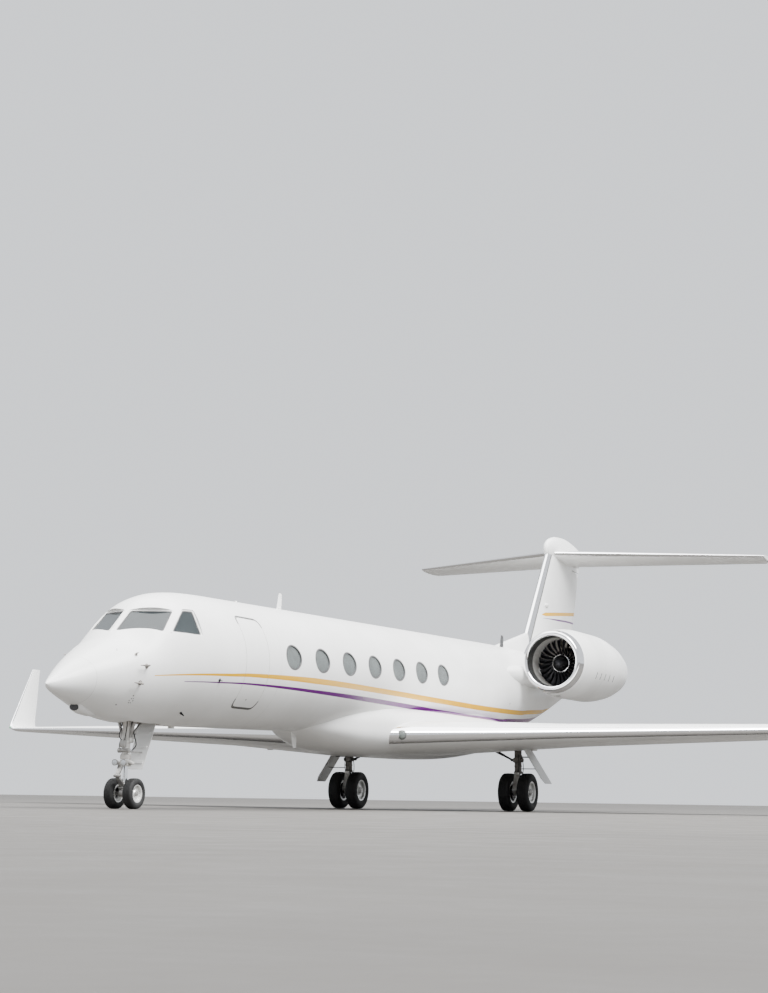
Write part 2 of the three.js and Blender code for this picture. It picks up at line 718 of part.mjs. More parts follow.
// Splits a hinged panel off a surface. Each end gives the hinge point and half thickness.
// Block is the space aft of the hinge and slab the space between the panel's ends, each grown by an amount.
// Returns the fixed part and the panel, whose rounded nose turns in a matching cove.
function splitPanel(whole, ends, block, slab, swing) {
  const [a, b] = ends;
  const direction = b.at.clone().sub(a.at).normalize();
  const coveFactor = 1 / Math.cos(radians(swing));
  const reach = (amount) => [
    a.at.clone().addScaledVector(direction, -amount).toArray(),
    b.at.clone().addScaledVector(direction, amount).toArray(),
  ];
  const nose = bar(...reach(2 * endGap), a.half, b.half, 16).intersect(slab(0));
  const coveRadii = [a.half, b.half].map((half) => half * coveFactor + hingeClearance);
  const cove = bar(...reach(4 * endGap), ...coveRadii, 16).intersect(slab(1));
  const panel = whole.intersect(block(0)).add(nose);
  return { fixed: whole.subtract(block(1)).subtract(cove), panel };
}

function wingPoint(x, fraction) {
  const place = chordPoint(wingBreaks, 'x', x, fraction);
  const height = between(wingBreaks, 'x', x, 'height', false);
  return { at: new THREE.Vector3(x, place.y, height), half: place.half };
}

// The space aft of a slanting line between two points of a wing, and the space between its ends.
// Grown is 0 for the panel and 1 for the room round it.
function spanBlocks(inner, outer) {
  const far = yAt(overallLength) + 500;
  const slope = (outer.y - inner.y) / (outer.x - inner.x);
  const edge = (x) => inner.y + slope * (x - inner.x);
  const ends = (grown) => [inner.x - grown * endGap, outer.x + grown * endGap];
  const block = (grown) => {
    const [x1, x2] = ends(grown);
    return prism([[x1, edge(x1)], [x2, edge(x2)], [x2, far], [x1, far]], 'z', 500, 8500);
  };
  const slab = (grown) => {
    const [x1, x2] = ends(grown);
    return box([x1, yAt(0), 500], [x2, far, 8500]);
  };
  return [block, slab];
}

function makeWings() {
  const whole = surface(wingBreaks);
  const ends = [aileron.start, aileron.end].map((x) => wingPoint(x, aileron.hingeAt));
  const blocks = spanBlocks(ends[0].at, ends[1].at);
  const { fixed, panel } = splitPanel(whole, ends, ...blocks, aileron.swing);
  const flapLine = [flap.start, wingBreaks[1].x, flap.end].map((x) => wingPoint(x, flap.cutAt).at);
  const flapBlock = (inset) => {
    const far = yAt(overallLength);
    const [a, b, c] = flapLine;
    return prism([
      [a.x + inset, a.y + inset],
      [b.x, b.y + inset],
      [c.x - inset, c.y + inset],
      [c.x - inset, far],
      [a.x + inset, far],
    ], 'z', 500, 3500);
  };
  const padPlace = [wingPad.x, yAt(wingPad.station)];
  const padHeights = [wingPad.bottom, wingPad.bottom + 120];
  const pad = bar(...padHeights.map((height) => [...padPlace, height]), jackPad.radius);
  addPair('wing', fixed.subtract(flapBlock(0)).add(pad), paints.white);
  addPair('flap', whole.intersect(flapBlock(7)), paints.white);
  addPair('aileron', panel, paints.white);
  addPair('winglet', loft(wingletSections.map((s) => {
    const nose = new THREE.Vector3(s.x, yAt(s.station), s.height);
    return foilRing(nose, s.chord, s.thickness, s.lean);
  })), paints.white);
}

function fairingRing(row) {
  const middle = (row.bottom + row.top) / 2;
  const half = (row.top - row.bottom) / 2;
  const power = (value) => Math.sign(value) * Math.abs(value) ** (2 / fairingFullness);
  const ring = [];
  for (let i = 0; i < hullSides; i += 1) {
    const angle = (2 * Math.PI * i) / hullSides;
    const across = row.halfWidth * power(Math.cos(angle));
    ring.push(new THREE.Vector3(across, yAt(row.station), middle + half * power(Math.sin(angle))));
  }
  return ring;
}

function makeFairing() {
  const body = hull([7000, 17500, ...tailStations.slice(1), aftEnd], -gap);
  const wing = surface(wingBreaks, gap);
  const shell = loft(fairingFrames.map(fairingRing));
  addPiece('wing_body_fairing', shell.subtract(body).subtract(wing).subtract(mirrored(wing)), paints.white);
}

// Upright surfaces, from rows of height, lead, trail and thickness
function uprightSurface(rows, grow = 0) {
  return loft(rows.map((row) => {
    const nose = new THREE.Vector3(0, yAt(row.lead), row.height);
    return foilRing(nose, row.trail - row.lead, row.thickness, 90, grow);
  }));
}

function bulletSolid() {
  const sides = 14;
  return loft(bulletShape.map((row) => {
    const station = mix(bullet.start, bullet.end, row.along);
    const ring = [];
    for (let i = 0; i < sides; i += 1) {
      const angle = (2 * Math.PI * i) / sides;
      ring.push(new THREE.Vector3(
        bullet.halfWidth * row.size * Math.cos(angle),
        yAt(station),
        bullet.height + bullet.halfHeight * row.size * Math.sin(angle),
      ));
    }
    return ring;
  }));
}

function makeTail() {
  const whole = uprightSurface(finSections);
  const hingePoint = (height) => {
    const place = chordPoint(finSections, 'height', height, rudder.hingeAt);
    return { at: new THREE.Vector3(0, place.y, height), half: place.half };
  };
  const ends = [hingePoint(rudder.bottom), hingePoint(rudder.top)];
  const far = yAt(overallLength);
  const slope = (ends[1].at.y - ends[0].at.y) / (rudder.top - rudder.bottom);
  const edge = (height) => ends[0].at.y + slope * (height - rudder.bottom);
  const levels = (grown) => [rudder.bottom - grown * endGap, rudder.top + grown * rudder.topGap];
  const block = (grown) => {
    const [low, high] = levels(grown);
    return prism([[edge(low), low], [far, low], [far, high], [edge(high), high]], 'x', -600, 600);
  };
  const slab = (grown) => {
    const [low, high] = levels(grown);
    return box([-600, yAt(0), low], [600, far, high]);
  };
  const { fixed, panel } = splitPanel(whole, ends, block, slab, rudder.swing);
  const fillet = loft([
    foilRing(new THREE.Vector3(0, yAt(dorsalFillet.start), dorsalFillet.foot), 6000, 300, 90),
    foilRing(
      new THREE.Vector3(0, yAt(dorsalFillet.end), dorsalFillet.peak),
      2000,
      dorsalFillet.thickness,
      90,
    ),
  ]);
  const filletFront = fillet.intersect(prism([
    [yAt(dorsalFillet.start) - 100, 3900],
    [edge(rudder.bottom) - 600, 3900],
    [edge(rudder.bottom) - 600, 5100],
    [yAt(dorsalFillet.start) - 100, 5100],
  ], 'x', -500, 500));
  const body = hull([17500, ...tailStations.slice(1), aftEnd, ...coneStations, tailEnd], -gap);
  const tailplane = surface([mirrorRow(tailplaneSections[1]), ...tailplaneSections]);
  const tailplaneRoom = surface([mirrorRow(tailplaneSections[1]), ...tailplaneSections], gap);
  const upper = [elevatorPoint(elevator.start), elevatorPoint(elevator.end)];
  const blocks = spanBlocks(upper[0].at, upper[1].at);
  const port = splitPanel(tailplane, upper, ...blocks, elevator.swing);
  // The two sides are alike, so what is left of both is the fixed tailplane
  const fixedTailplane = port.fixed.intersect(mirrored(port.fixed));
  const finWithBullet = joined([fixed, filletFront, bulletSolid()]).subtract(body).subtract(tailplaneRoom);
  addPiece('fin', finWithBullet, paints.white);
  addPiece('rudder', panel, paints.white);
  addPiece('tailplane', fixedTailplane, paints.white);
  addPair('elevator', port.panel, paints.white);
}

function mirrorRow(row) {
  return { ...row, x: -row.x };
}

function elevatorPoint(x) {
  const place = chordPoint(tailplaneSections, 'x', x, elevator.hingeAt);
  const column = (name) => between(tailplaneSections, 'x', x, name, false);
  const height = column('height') - elevator.hingeAt * column('drop');
  return { at: new THREE.Vector3(x, place.y, height), half: place.half };
}

// Engines, made about the Y axis and then set in place
function enginePlace(x) {
  return new THREE.Matrix4().setPosition(x, yAt(engine.station), engine.height);
}

function turned(outline, sides, place) {
  const points = outline.map(({ aft, radius }) => new THREE.Vector2(radius, aft));
  return fromGeometry(new THREE.LatheGeometry(points, sides), place);
}

// Half round, from the throat forward over the lip to the outside
function lipCurve() {
  const curve = [];
  for (let i = 0; i <= lipSteps; i += 1) {
    const angle = (Math.PI * i) / lipSteps;
    const aft = lip.radius * (1 - Math.sin(angle));
    curve.push({ aft, radius: lip.middle - lip.radius * Math.cos(angle) });
  }
  return curve;
}

function fanBlade(number) {
  const angle = (2 * Math.PI * number) / blades.count;
  const rings = bladeSections.map((section) => {
    const radius = mix(blades.root, blades.tip, section.out);
    const lag = (blades.sweep * section.out ** 2) / radius;
    const outward = new THREE.Vector3(Math.cos(angle + lag), 0, Math.sin(angle + lag));
    const tangent = new THREE.Vector3(-outward.z, 0, outward.x);
    const stagger = radians(section.stagger);
    const [along, across] = [Math.cos(stagger), Math.sin(stagger)];
    const chordwise = new THREE.Vector3(0, along, 0).addScaledVector(tangent, across);
    const thickwise = new THREE.Vector3(0, -across, 0).addScaledVector(tangent, along);
    const middle = outward.clone().multiplyScalar(radius).setY(blades.middle);
    const corner = (a, b) => middle.clone()
      .addScaledVector(chordwise, a * section.halfChord)
      .addScaledVector(thickwise, b * section.halfThickness);
    return [corner(-1, 0), corner(0, 1), corner(1, 0), corner(0, -1)];
  });
  return loft(rings);
}

function makeEngine(side, x) {
  const place = enginePlace(x);
  const pod = [...lipCurve(), ...podOutside, ...podInside, lipCurve()[0]];
  addPiece(`nacelle_${side}`, turned(pod, engine.sides, place), paints.white);
  const wheel = [turned(spinnerOutline, 16)];
  for (let i = 0; i < blades.count; i += 1) {
    wheel.push(fanBlade(i));
  }
  addPiece(`fan_${side}`, placed(joined(wheel), place), paints.dark);
  const duct = between([...podInside].reverse(), 'aft', strut.start, 'radius', false);
  const ductRadius = duct * Math.cos(Math.PI / engine.sides) - 6;
  const core = [turned(coreOutline, 14)];
  for (let i = 0; i < strut.count; i += 1) {
    const angle = (2 * Math.PI * i) / strut.count;
    const turn = new THREE.Matrix4().makeRotationY(angle);
    const middle = new THREE.Vector3((ductRadius + 300) / 2, (strut.start + strut.end) / 2, 0);
    const plate = new THREE.BoxGeometry(ductRadius - 300, strut.end - strut.start, strut.thickness);
    plate.translate(...middle.toArray());
    core.push(fromGeometry(plate, turn));
  }
  addPiece(`engine_core_${side}`, placed(joined(core), place), paints.steel);
}

function placed(solid, matrix) {
  const mesh = solid.getMesh();
  const points = new THREE.Float32BufferAttribute(new Float32Array(mesh.vertProperties), 3);
  points.applyMatrix4(matrix);
  return solidFrom(Array.from(points.array), Array.from(mesh.triVerts));
}

function makePylons() {
  const body = hull([17500, ...tailStations.slice(1), aftEnd], -gap);
  const end = { aft: podOutside.at(-1).aft + 200, radius: podOutside.at(-1).radius };
  const outside = [...lipCurve().slice(lipSteps / 2), ...podOutside];
  const filled = [
    { aft: -gap, radius: 0 },
    ...outside.map((p) => ({ aft: p.aft - gap, radius: p.radius + gap })),
    end,
    { aft: end.aft, radius: 0 },
  ];
  const pod = turned(filled, engine.sides, enginePlace(engine.x));
  addPair('pylon', surface(pylonSections).subtract(body).subtract(pod), paints.white);
}

// Wheels turn about X. The outline is radius against distance outboard, and a flat side faces the ground.
function wheelSolid(outline, sides, x, station, height) {
  const points = outline.map(([radius, out]) => new THREE.Vector2(radius, out));
  const geometry = new THREE.LatheGeometry(points, sides, Math.PI / sides);
  const place = new THREE.Matrix4().makeRotationZ(-Math.PI / 2);
  return fromGeometry(geometry, place.setPosition(x, yAt(station), height));
}

// The tyre's corners stand out a little, so that its flats are at the true radius
function tyreOutline(gear) {
  const half = gear.tyreWidth / 2;
  const corner = 1 / Math.cos(Math.PI / tyreSides);
  const bead = (gear.rimRadius + gap) * corner;
  const tread = gear.tyreRadius * corner;
  const sidewall = (bead + tread) / 2;
  return [
    [bead, -half * 0.76],
    [sidewall, -half],
    [tread, -half * 0.6],
    [tread, half * 0.6],
    [sidewall, half],
    [bead, half * 0.76],
    [bead, -half * 0.76],
  ];
}

// Two rims on one axle, each dished outboard
function rimPairOutline(gear, axleRadius) {
  const half = gear.tyreWidth / 2;
  const [near, far] = [gear.offset - half * 0.7, gear.offset + half * 0.7];
  const port = [
    [axleRadius, near],
    [gear.rimRadius, near],
    [gear.rimRadius, far],
    [gear.rimRadius * 0.84, far],
    [gear.rimRadius * 0.7, far - half * 0.42],
    [gear.rimRadius * 0.34, far - half * 0.42],
    [0, far],
  ];
  const starboard = [...port].reverse().map(([radius, out]) => [radius, -out]);
  return [...starboard, ...port];
}

function makeWheels(name, gear, x, axleRadius) {
  const outline = rimPairOutline(gear, axleRadius);
  addPiece(`${name}_hubs`, wheelSolid(outline, hubSides, x, gear.station, gear.axleHeight), paints.steel);
}

function gearBars(rows, gear, x = 0) {
  const place = ([out, aft, height]) => [x + out, yAt(gear.station) + aft, height];
  return joined(rows.map(({ from, to, radius, endRadius, sides }) => (
    bar(place(from), place(to), radius, endRadius, sides)
  )));
}

// The hole that an axle turns in
function axleHole(gear, x, radius) {
  const end = (reach) => [x + reach, yAt(gear.station), gear.axleHeight];
  return bar(end(-400), end(400), radius);
}

function makeNoseGear() {
  const y = yAt(noseGear.station);
  addPiece('nose_leg', gearBars(noseLegBars, noseGear), paints.steel);
  const corner = ([out, aft, height]) => [out, y + aft, height];
  const blocks = noseForkBlocks.map(({ low, high }) => box(corner(low), corner(high)));
  const fork = joined([gearBars(noseForkBars, noseGear), ...blocks]);
  addPiece('nose_fork', fork.subtract(axleHole(noseGear, 0, axleBore.nose)), paints.silver);
  makeWheels('nose', noseGear, 0, 28);
  for (const [side, sign] of [['left', 1], ['right', -1]]) {
    const x = sign * noseGear.offset;
    const tyre = wheelSolid(tyreOutline(noseGear), tyreSides, x, noseGear.station, noseGear.axleHeight);
    addPiece(`nose_tyre_${side}`, tyre, paints.rubber);
  }
  const { halfWidth, thickness, lower, upper } = noseDoor;
  const plate = prism([
    [y + lower[0], lower[1]],
    [y + lower[0] + thickness, lower[1]],
    [y + upper[0] + thickness, upper[1]],
    [y + upper[0], upper[1]],
  ], 'x', -halfWidth, halfWidth);
  const collarRoom = bar([0, y, 500], [0, y, 1500], 100 + gap, 100 + gap, 12);
  const arm = gearBars(noseDoorArm, noseGear).subtract(collarRoom);
  addPiece('nose_gear_door', plate.add(arm), paints.white);
}

function makeMainGear() {
  const y = yAt(mainGear.station);
  const x = mainGear.x;
  const wing = surface(wingBreaks, gap);
  const leg = gearBars(mainLegBars, mainGear, x).subtract(axleHole(mainGear, x, axleBore.main));
  addPair('main_leg', leg.subtract(wing), paints.steel);
  addPair('main_brace', gearBars(mainBraceBars, mainGear, x).subtract(wing), paints.dark);
  for (const [side, sign] of [['left', 1], ['right', -1]]) {
    makeWheels(`main_${side}`, mainGear, sign * x, 46);
    for (const [place, offset] of [['outer', 1], ['inner', -1]]) {
      const tyreX = sign * (x + offset * mainGear.offset);
      const outline = tyreOutline(mainGear);
      const tyre = wheelSolid(outline, tyreSides, tyreX, mainGear.station, mainGear.axleHeight);
      addPiece(`main_tyre_${side}_${place}`, tyre, paints.rubber);
    }
  }
  const { front, back, thickness, upper, lower } = mainDoor;
  const plate = prism([
    [x + upper[0], upper[1]],
    [x + upper[0] + thickness, upper[1]],
    [x + lower[0] + thickness, lower[1]],
    [x + lower[0], lower[1]],
  ], 'y', y + front, y + back);
  const doorWithLinks = plate.add(gearBars(doorLinks, mainGear, x));
  addPair('main_gear_door', doorWithLinks.subtract(wing), paints.white);
}

// Cockpit seats and panel, which show through the glass
function makeCockpit() {
  const floor = axisAt(3200) - floorBelowAxis;
  const seat = joined(seatBlocks.map(({ inner, outer, front, back, low, high }) => (
    box([inner, yAt(front), floor + low], [outer, yAt(back), floor + high])
  )));
  addPair('pilot_seat', seat, paints.seat);
  const outline = panelOutline.map(({ station, up }) => [yAt(station), floor + up]);
  addPiece('instrument_panel', prism(outline, 'x', -panelHalfWidth, panelHalfWidth), paints.dark);
}

makeFuselage();
makeCabinWindows();
makeWings();
makeFairing();
makeTail();
makeEngine('left', engine.x);
makeEngine('right', -engine.x);
makePylons();
makeNoseGear();
makeMainGear();
makeCockpit();

export default jet;
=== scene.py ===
import math

import bmesh
import bpy
import numpy as np
from mathutils import Matrix, Vector


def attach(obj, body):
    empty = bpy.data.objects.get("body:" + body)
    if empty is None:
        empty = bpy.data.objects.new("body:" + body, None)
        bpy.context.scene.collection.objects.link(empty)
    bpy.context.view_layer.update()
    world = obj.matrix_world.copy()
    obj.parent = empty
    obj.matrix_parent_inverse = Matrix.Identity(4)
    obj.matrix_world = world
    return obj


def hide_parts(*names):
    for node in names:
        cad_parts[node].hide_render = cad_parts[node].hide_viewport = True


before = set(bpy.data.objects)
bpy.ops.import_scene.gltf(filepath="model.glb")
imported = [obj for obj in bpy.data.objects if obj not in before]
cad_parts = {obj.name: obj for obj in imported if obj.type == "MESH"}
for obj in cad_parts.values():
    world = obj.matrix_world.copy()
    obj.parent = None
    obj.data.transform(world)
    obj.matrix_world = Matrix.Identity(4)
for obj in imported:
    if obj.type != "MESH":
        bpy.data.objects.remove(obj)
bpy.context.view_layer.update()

# Overall sizes, in metres. Stations run aft from the nose tip
LENGTH = 29.39
GAP = 0.0003
WALL = 0.075
AXIS_AT_NOSE = 2.587
AXIS_SLOPE = 0.0198
FLOOR_DROP = 0.78
ROUND = 96

# Fuselage frames: station, then crown, keel and widest point above the axis, and half width
HULL_FRAMES = (
    (0.0, -0.577, -0.597, -0.587, 0.012),
    (0.06, -0.53, -0.662, -0.58, 0.062),
    (0.2, -0.447, -0.715, -0.562, 0.145),
    (0.44, -0.303, -0.787, -0.53, 0.275),
    (0.8, -0.108, -0.889, -0.464, 0.452),
    (1.2, 0.083, -1.003, -0.39, 0.63),
    (1.6, 0.264, -1.092, -0.309, 0.785),
    (1.87, 0.378, -1.136, -0.255, 0.868),
    (2.38, 0.798, -1.18, -0.17, 0.985),
    (2.81, 1.062, -1.195, -0.105, 1.095),
    (3.3, 1.174, -1.195, -0.05, 1.158),
    (3.9, 1.22, -1.195, -0.014, 1.186),
    (4.55, 1.232, -1.195, 0.0, 1.195),
    (17.5, 1.232, -1.195, 0.0, 1.195),
    (19.0, 1.232, -1.172, 0.01, 1.176),
    (20.5, 1.215, -1.05, 0.05, 1.08),
    (22.5, 1.146, -0.665, 0.19, 0.85),
    (24.3, 1.046, -0.235, 0.38, 0.6),
    (26.0, 0.934, 0.205, 0.57, 0.35),
    (27.4, 0.851, 0.571, 0.71, 0.15),
)
NOSE_STATIONS = (0, 0.006, 0.015, 0.03, 0.06, 0.1, 0.15, 0.2, 0.27, 0.35, 0.44, 0.55, 0.66, 0.8)
RADOME_END, FORWARD_END, CENTRE_END, AFT_END, CONE_END = 0.8, 6.0, 15.3, 24.6, 27.4
CAVITY_START, CAVITY_FLOOR_END = 1.8, 15.3

# Cabin windows, seven a side
WINDOW_COUNT = 7
WINDOW_FIRST, WINDOW_PITCH = 6.523, 1.248
WINDOW_WIDTH, WINDOW_HEIGHT = 0.66, 0.49
WINDOW_ABOVE_AXIS = 0.168

# Cockpit panes on the port side: corners as x, station and height, listed round the pane
WINDSHIELD = ((0.066, 1.929, 3.037), (0.763, 2.347, 3.048), (0.682, 2.774, 3.426), (0.074, 2.374, 3.426))
SIDE_WINDOW = ((0.855, 2.504, 3.046), (1.06, 3.161, 3.036), (0.79, 3.27, 3.466), (0.733, 3.03, 3.465))
PANE_CORNER = 0.045
FACET_MARGIN, FACET_DROP, PANE_RECESS = 0.025, 0.012, 0.006

# Entry door on the port side
DOOR_START, DOOR_END, DOOR_BOTTOM, DOOR_TOP = 4.6, 5.5, 1.845, 3.515
DOOR_CORNER = 0.15
DOOR_GAP = 0.008

# Wing plan: x, leading edge, trailing edge, height, thickness
WING = (
    (1.0, 10.948, 17.279, 1.571, 0.78),
    (4.2, 12.891, 17.55, 1.686, 0.49),
    (13.85, 18.748, 20.123, 2.034, 0.128),
)
# Winglet sections: x, station, height, chord, thickness, lean from flat in degrees
WINGLET = (
    (13.8503, 18.748, 2.034, 1.375, 0.128, 0),
    (14.0, 18.85, 2.078, 1.29, 0.118, 42),
    (14.085, 19.01, 2.23, 1.16, 0.104, 78),
    (14.15, 19.54, 2.95, 0.79, 0.074, 83),
    (14.225, 20.16, 3.8, 0.35, 0.04, 84),
)
AILERON_START, AILERON_END, AILERON_HINGE, AILERON_SWING = 9.6, 13.15, 0.74, 20
FLAP_START, FLAP_END, FLAP_CUT = 2.95, 9.45, 0.77
END_GAP = 0.022
HINGE_GAP = 0.008

# Belly fairing: station, half width, bottom, top
FAIRING = (
    (8.3, 0.3, 1.7, 2.0),
    (9.3, 0.74, 1.4, 2.15),
    (10.4, 1.03, 1.215, 2.23),
    (11.8, 1.32, 1.145, 2.29),
    (14.8, 1.49, 1.15, 2.33),
    (16.6, 1.42, 1.27, 2.33),
    (18.1, 1.12, 1.56, 2.3),
    (19.3, 0.6, 1.96, 2.27),
)
FAIRING_FULLNESS = 2.7

# Fin: height, leading edge, trailing edge, thickness
FIN = ((4.02, 22.15, 26.3, 0.44), (7.3, 24.52, 27.37, 0.33))
RUDDER_BOTTOM, RUDDER_TOP, RUDDER_HINGE, RUDDER_SWING, RUDDER_TOP_GAP = 4.42, 6.86, 0.7, 22, 0.042
# Tailplane: x, leading edge, trailing edge, height, how far the trailing edge lies lower, thickness
TAILPLANE = ((0.0, 24.54, 26.77, 7.19, 0.15, 0.24), (5.36, 28.01, 29.39, 7.32, 0.06, 0.118))
ELEVATOR_START, ELEVATOR_END, ELEVATOR_HINGE, ELEVATOR_SWING = 0.38, 5.2, 0.7, 24
BULLET = {"start": 24.34, "end": 28.15, "height": 7.31, "half_width": 0.255, "half_height": 0.43}
BULLET_SHAPE = (
    (0, 0.02), (0.006, 0.2), (0.02, 0.36), (0.08, 0.68), (0.2, 0.93), (0.36, 1), (0.55, 0.86),
    (0.8, 0.45), (1, 0.04),
)

# Engines: the pod's outlines are distance aft of the lip and radius
ENGINE_X, ENGINE_STATION, ENGINE_HEIGHT = 2.014, 18.99, 3.7
# The last of these is how far aft the painted reflection inside the lip runs
LIP_RADIUS, LIP_MIDDLE, LIP_REACH, PAINTED_RING_END = 0.066, 0.688, 0.25, 0.4
POD_OUTSIDE = ((0.066, 0.754), (0.42, 0.817), (1.2, 0.88), (2.6, 0.88), (3.7, 0.78), (4.5, 0.62))
POD_INSIDE = (
    (4.5, 0.592), (3.7, 0.712), (2.6, 0.806), (1.5, 0.8), (1.0, 0.614), (0.45, 0.614), (0.066, 0.622),
)
FAN_MIDDLE, FAN_TIP, FAN_ROOT = 0.85, 0.6, 0.206
BLADES = 24
SPINNER = (
    (0.53, 0.0), (0.533, 0.03), (0.546, 0.07), (0.57, 0.104), (0.61, 0.135), (0.7, 0.188), (0.8, 0.22),
    (0.95, 0.226),
)
CORE = ((0.98, 0.0), (0.98, 0.33), (1.4, 0.43), (2.9, 0.43), (3.7, 0.33), (4.65, 0.06), (4.7, 0.0))
PYLON = (
    (0.6, 17.6, 23.9, 3.34, 0.56),
    (1.1, 18.35, 23.7, 3.37, 0.54),
    (1.5, 20.0, 23.5, 3.45, 0.5),
)

# The photograph's camera
CAMERA_AT = (17.6256, -40.5392, 0.2278)
CAMERA_YAW, CAMERA_PITCH, CAMERA_ROLL = 0.4240, 0.1586, 0.0148
CAMERA_FOCUS = 1894.0
PHOTO_HEIGHT = 993
SENSOR = 36


# Places and tables
def y_at(station):
    return station - LENGTH / 2


def axis_at(station):
    return AXIS_AT_NOSE + AXIS_SLOPE * station


def gentler(p, q):
    return 0.0 if p * q <= 0 else 2 * p * q / (p + q)


def cubic(t, a, b, leave, arrive):
    """The curve from a to b with its two end slopes, at a share of the way."""
    return (
        (2 * t**3 - 3 * t**2 + 1) * a
        + (t**3 - 2 * t**2 + t) * leave
        + (3 * t**2 - 2 * t**3) * b
        + (t**3 - t**2) * arrive
    )


def straight(rows, place, column):
    return float(np.interp(place, [row[0] for row in rows], [row[column] for row in rows]))


def smooth(rows, place, column):
    """A column of a table on a smooth curve through its rows, which run up in their first column."""
    i = 0
    while i < len(rows) - 2 and rows[i + 1][0] < place:
        i += 1
    a, b = rows[i], rows[i + 1]
    span = b[0] - a[0]

    def slope(p, q):
        return (q[column] - p[column]) / (q[0] - p[0])

    here = slope(a, b)
    before = gentler(slope(rows[i - 1], a), here) if i > 0 else here
    after = gentler(here, slope(b, rows[i + 2])) if i + 2 < len(rows) else here
    return cubic((place - a[0]) / span, a[column], b[column], span * before, span * after)


def shares(count, start=0.0, end=1.0):
    return np.linspace(start, end, count).tolist()


def steps(start, end, pitch):
    return shares(max(2, 1 + math.ceil((end - start) / pitch)), start, end)


# Shapes are pairs of points and faces
def circle(count):
    return [2 * math.pi * i / count for i in range(count)]


def loft(rings, caps=True, ring=False):
    """A skin through rings of points, with end faces, or closed on itself as a ring."""
    if ring:
        rings, caps = [*rings, rings[0]], False
    count = len(rings[0])
    points = [tuple(p) for row in rings for p in row]
    faces = []
    for r in range(len(rings) - 1):
        for i in range(count):
            a, b = r * count + i, r * count + (i + 1) % count
            faces.append((a, b, b + count, a + count))
    if caps:
        faces.append(tuple(range(count))[::-1])
        faces.append(tuple(range((len(rings) - 1) * count, len(rings) * count)))
    return points, faces


def moved(shape, matrix):
    return [tuple(matrix @ Vector(p)) for p in shape[0]], shape[1]


def flipped(shape):
    """The same shape on the starboard side."""
    return [(-x, y, z) for x, y, z in shape[0]], [face[::-1] for face in shape[1]]


def on_side(side, shape):
    """A shape made for the port side, on the side that is named."""
    return flipped(shape) if side == "right" else shape


def both(shape):
    return [shape, flipped(shape)]


def together(*shapes):
    points, faces = [], []
    for shape in shapes:
        start = len(points)
        points += list(shape[0])
        faces += [tuple(i + start for i in face) for face in shape[1]]
    return points, faces


def box(low, high):
    xs, ys, zs = zip(low, high)
    points = [(x, y, z) for x in xs for y in ys for z in zs]
    return points, [(0, 1, 3, 2), (4, 6, 7, 5), (0, 4, 5, 1), (2, 3, 7, 6), (0, 2, 6, 4), (1, 5, 7, 3)]


def prism(outline, axis, start, end):
    """An outline of pairs pushed along an axis: x takes (y, z), y takes (x, z), z takes (x, y)."""
    def corner(a, b, along):
        return {"x": (along, a, b), "y": (a, along, b), "z": (a, b, along)}[axis]

    return loft([[corner(a, b, along) for a, b in outline] for along in (start, end)])


def turned(outline, sides=ROUND, ring=False):
    """A profile of (along, radius) turned about Y, closed on itself if it is a ring."""
    rings = [[(r * math.cos(t), along, r * math.sin(t)) for t in circle(sides)] for along, r in outline]
    return loft(rings, ring=ring)


def along_matrix(start, end):
    """Takes the Y axis, from 0 to the distance, onto the line between two points."""
    start, end = Vector(start), Vector(end)
    direction = (end - start).normalized()
    turn = Vector((0, 1, 0)).rotation_difference(direction).to_matrix().to_4x4()
    return Matrix.Translation(start) @ turn


def spindle(start, end, profile, sides=32):
    """A turned bar between two points, from a profile of (share of the length, radius)."""
    length = (Vector(end) - Vector(start)).length
    return moved(turned([(share * length, r) for share, r in profile], sides), along_matrix(start, end))


def rod(start, end, radius, end_radius=None, sides=24):
    """A round bar between two points."""
    return spindle(start, end, ((0, radius), (1, end_radius or radius)), sides)


def pipe(path, radius, sides=10):
    """A round pipe or wire on a smooth curve through the points of its path."""
    path = [Vector(p) for p in path]
    last = len(path) - 1
    fine = []
    for i in range(last):
        before, a, b, after = (path[min(max(j, 0), last)] for j in range(i - 1, i + 3))
        for t in shares(7)[: 6 if i < last - 1 else 7]:
            fine.append(cubic(t, a, b, (b - before) / 2, (after - a) / 2))
    rings = []
    side = (fine[1] - fine[0]).normalized().orthogonal().normalized()
    for i, p in enumerate(fine):
        direction = (fine[min(i + 1, len(fine) - 1)] - fine[max(i - 1, 0)]).normalized()
        side = (side - side.dot(direction) * direction).normalized()
        other = direction.cross(side)
        rings.append([p + radius * (math.cos(t) * side + math.sin(t) * other) for t in circle(sides)])
    return loft(rings)


# Objects
def body_object(name, shape, marks=None):
    mesh = bpy.data.meshes.new(name)
    mesh.from_pydata([tuple(p) for p in shape[0]], [], shape[1])
    if marks is not None:
        mesh.polygons.foreach_set("material_index", marks)
    mesh.validate()
    made = bpy.data.objects.new(name, mesh)
    bpy.context.scene.collection.objects.link(made)
    return made


def settled(target):
    """The target with its modifiers worked into its mesh."""
    bpy.context.view_layer.update()
    graph = bpy.context.evaluated_depsgraph_get()
    mesh = bpy.data.meshes.new_from_object(target.evaluated_get(graph))
    target.modifiers.clear()
    target.data = mesh
    return target


def carve(target, shapes, operation="DIFFERENCE"):
    """Cuts the shapes out of a closed object, or keeps what lies in them."""
    tools = []
    for shape in shapes:
        tool = body_object("tool", shape)
        change = target.modifiers.new("cut", "BOOLEAN")
        change.solver = "EXACT"
        change.operation = operation
        change.object = tool
        tools.append(tool)
    settled(target)
    for tool in tools:
        bpy.data.objects.remove(tool)
    return target


def shape_of(target):
    """The points and faces of an object, which is then removed."""
    mesh = target.data
    shape = [tuple(v.co) for v in mesh.vertices], [tuple(p.vertices) for p in mesh.polygons]
    bpy.data.objects.remove(target)
    return shape


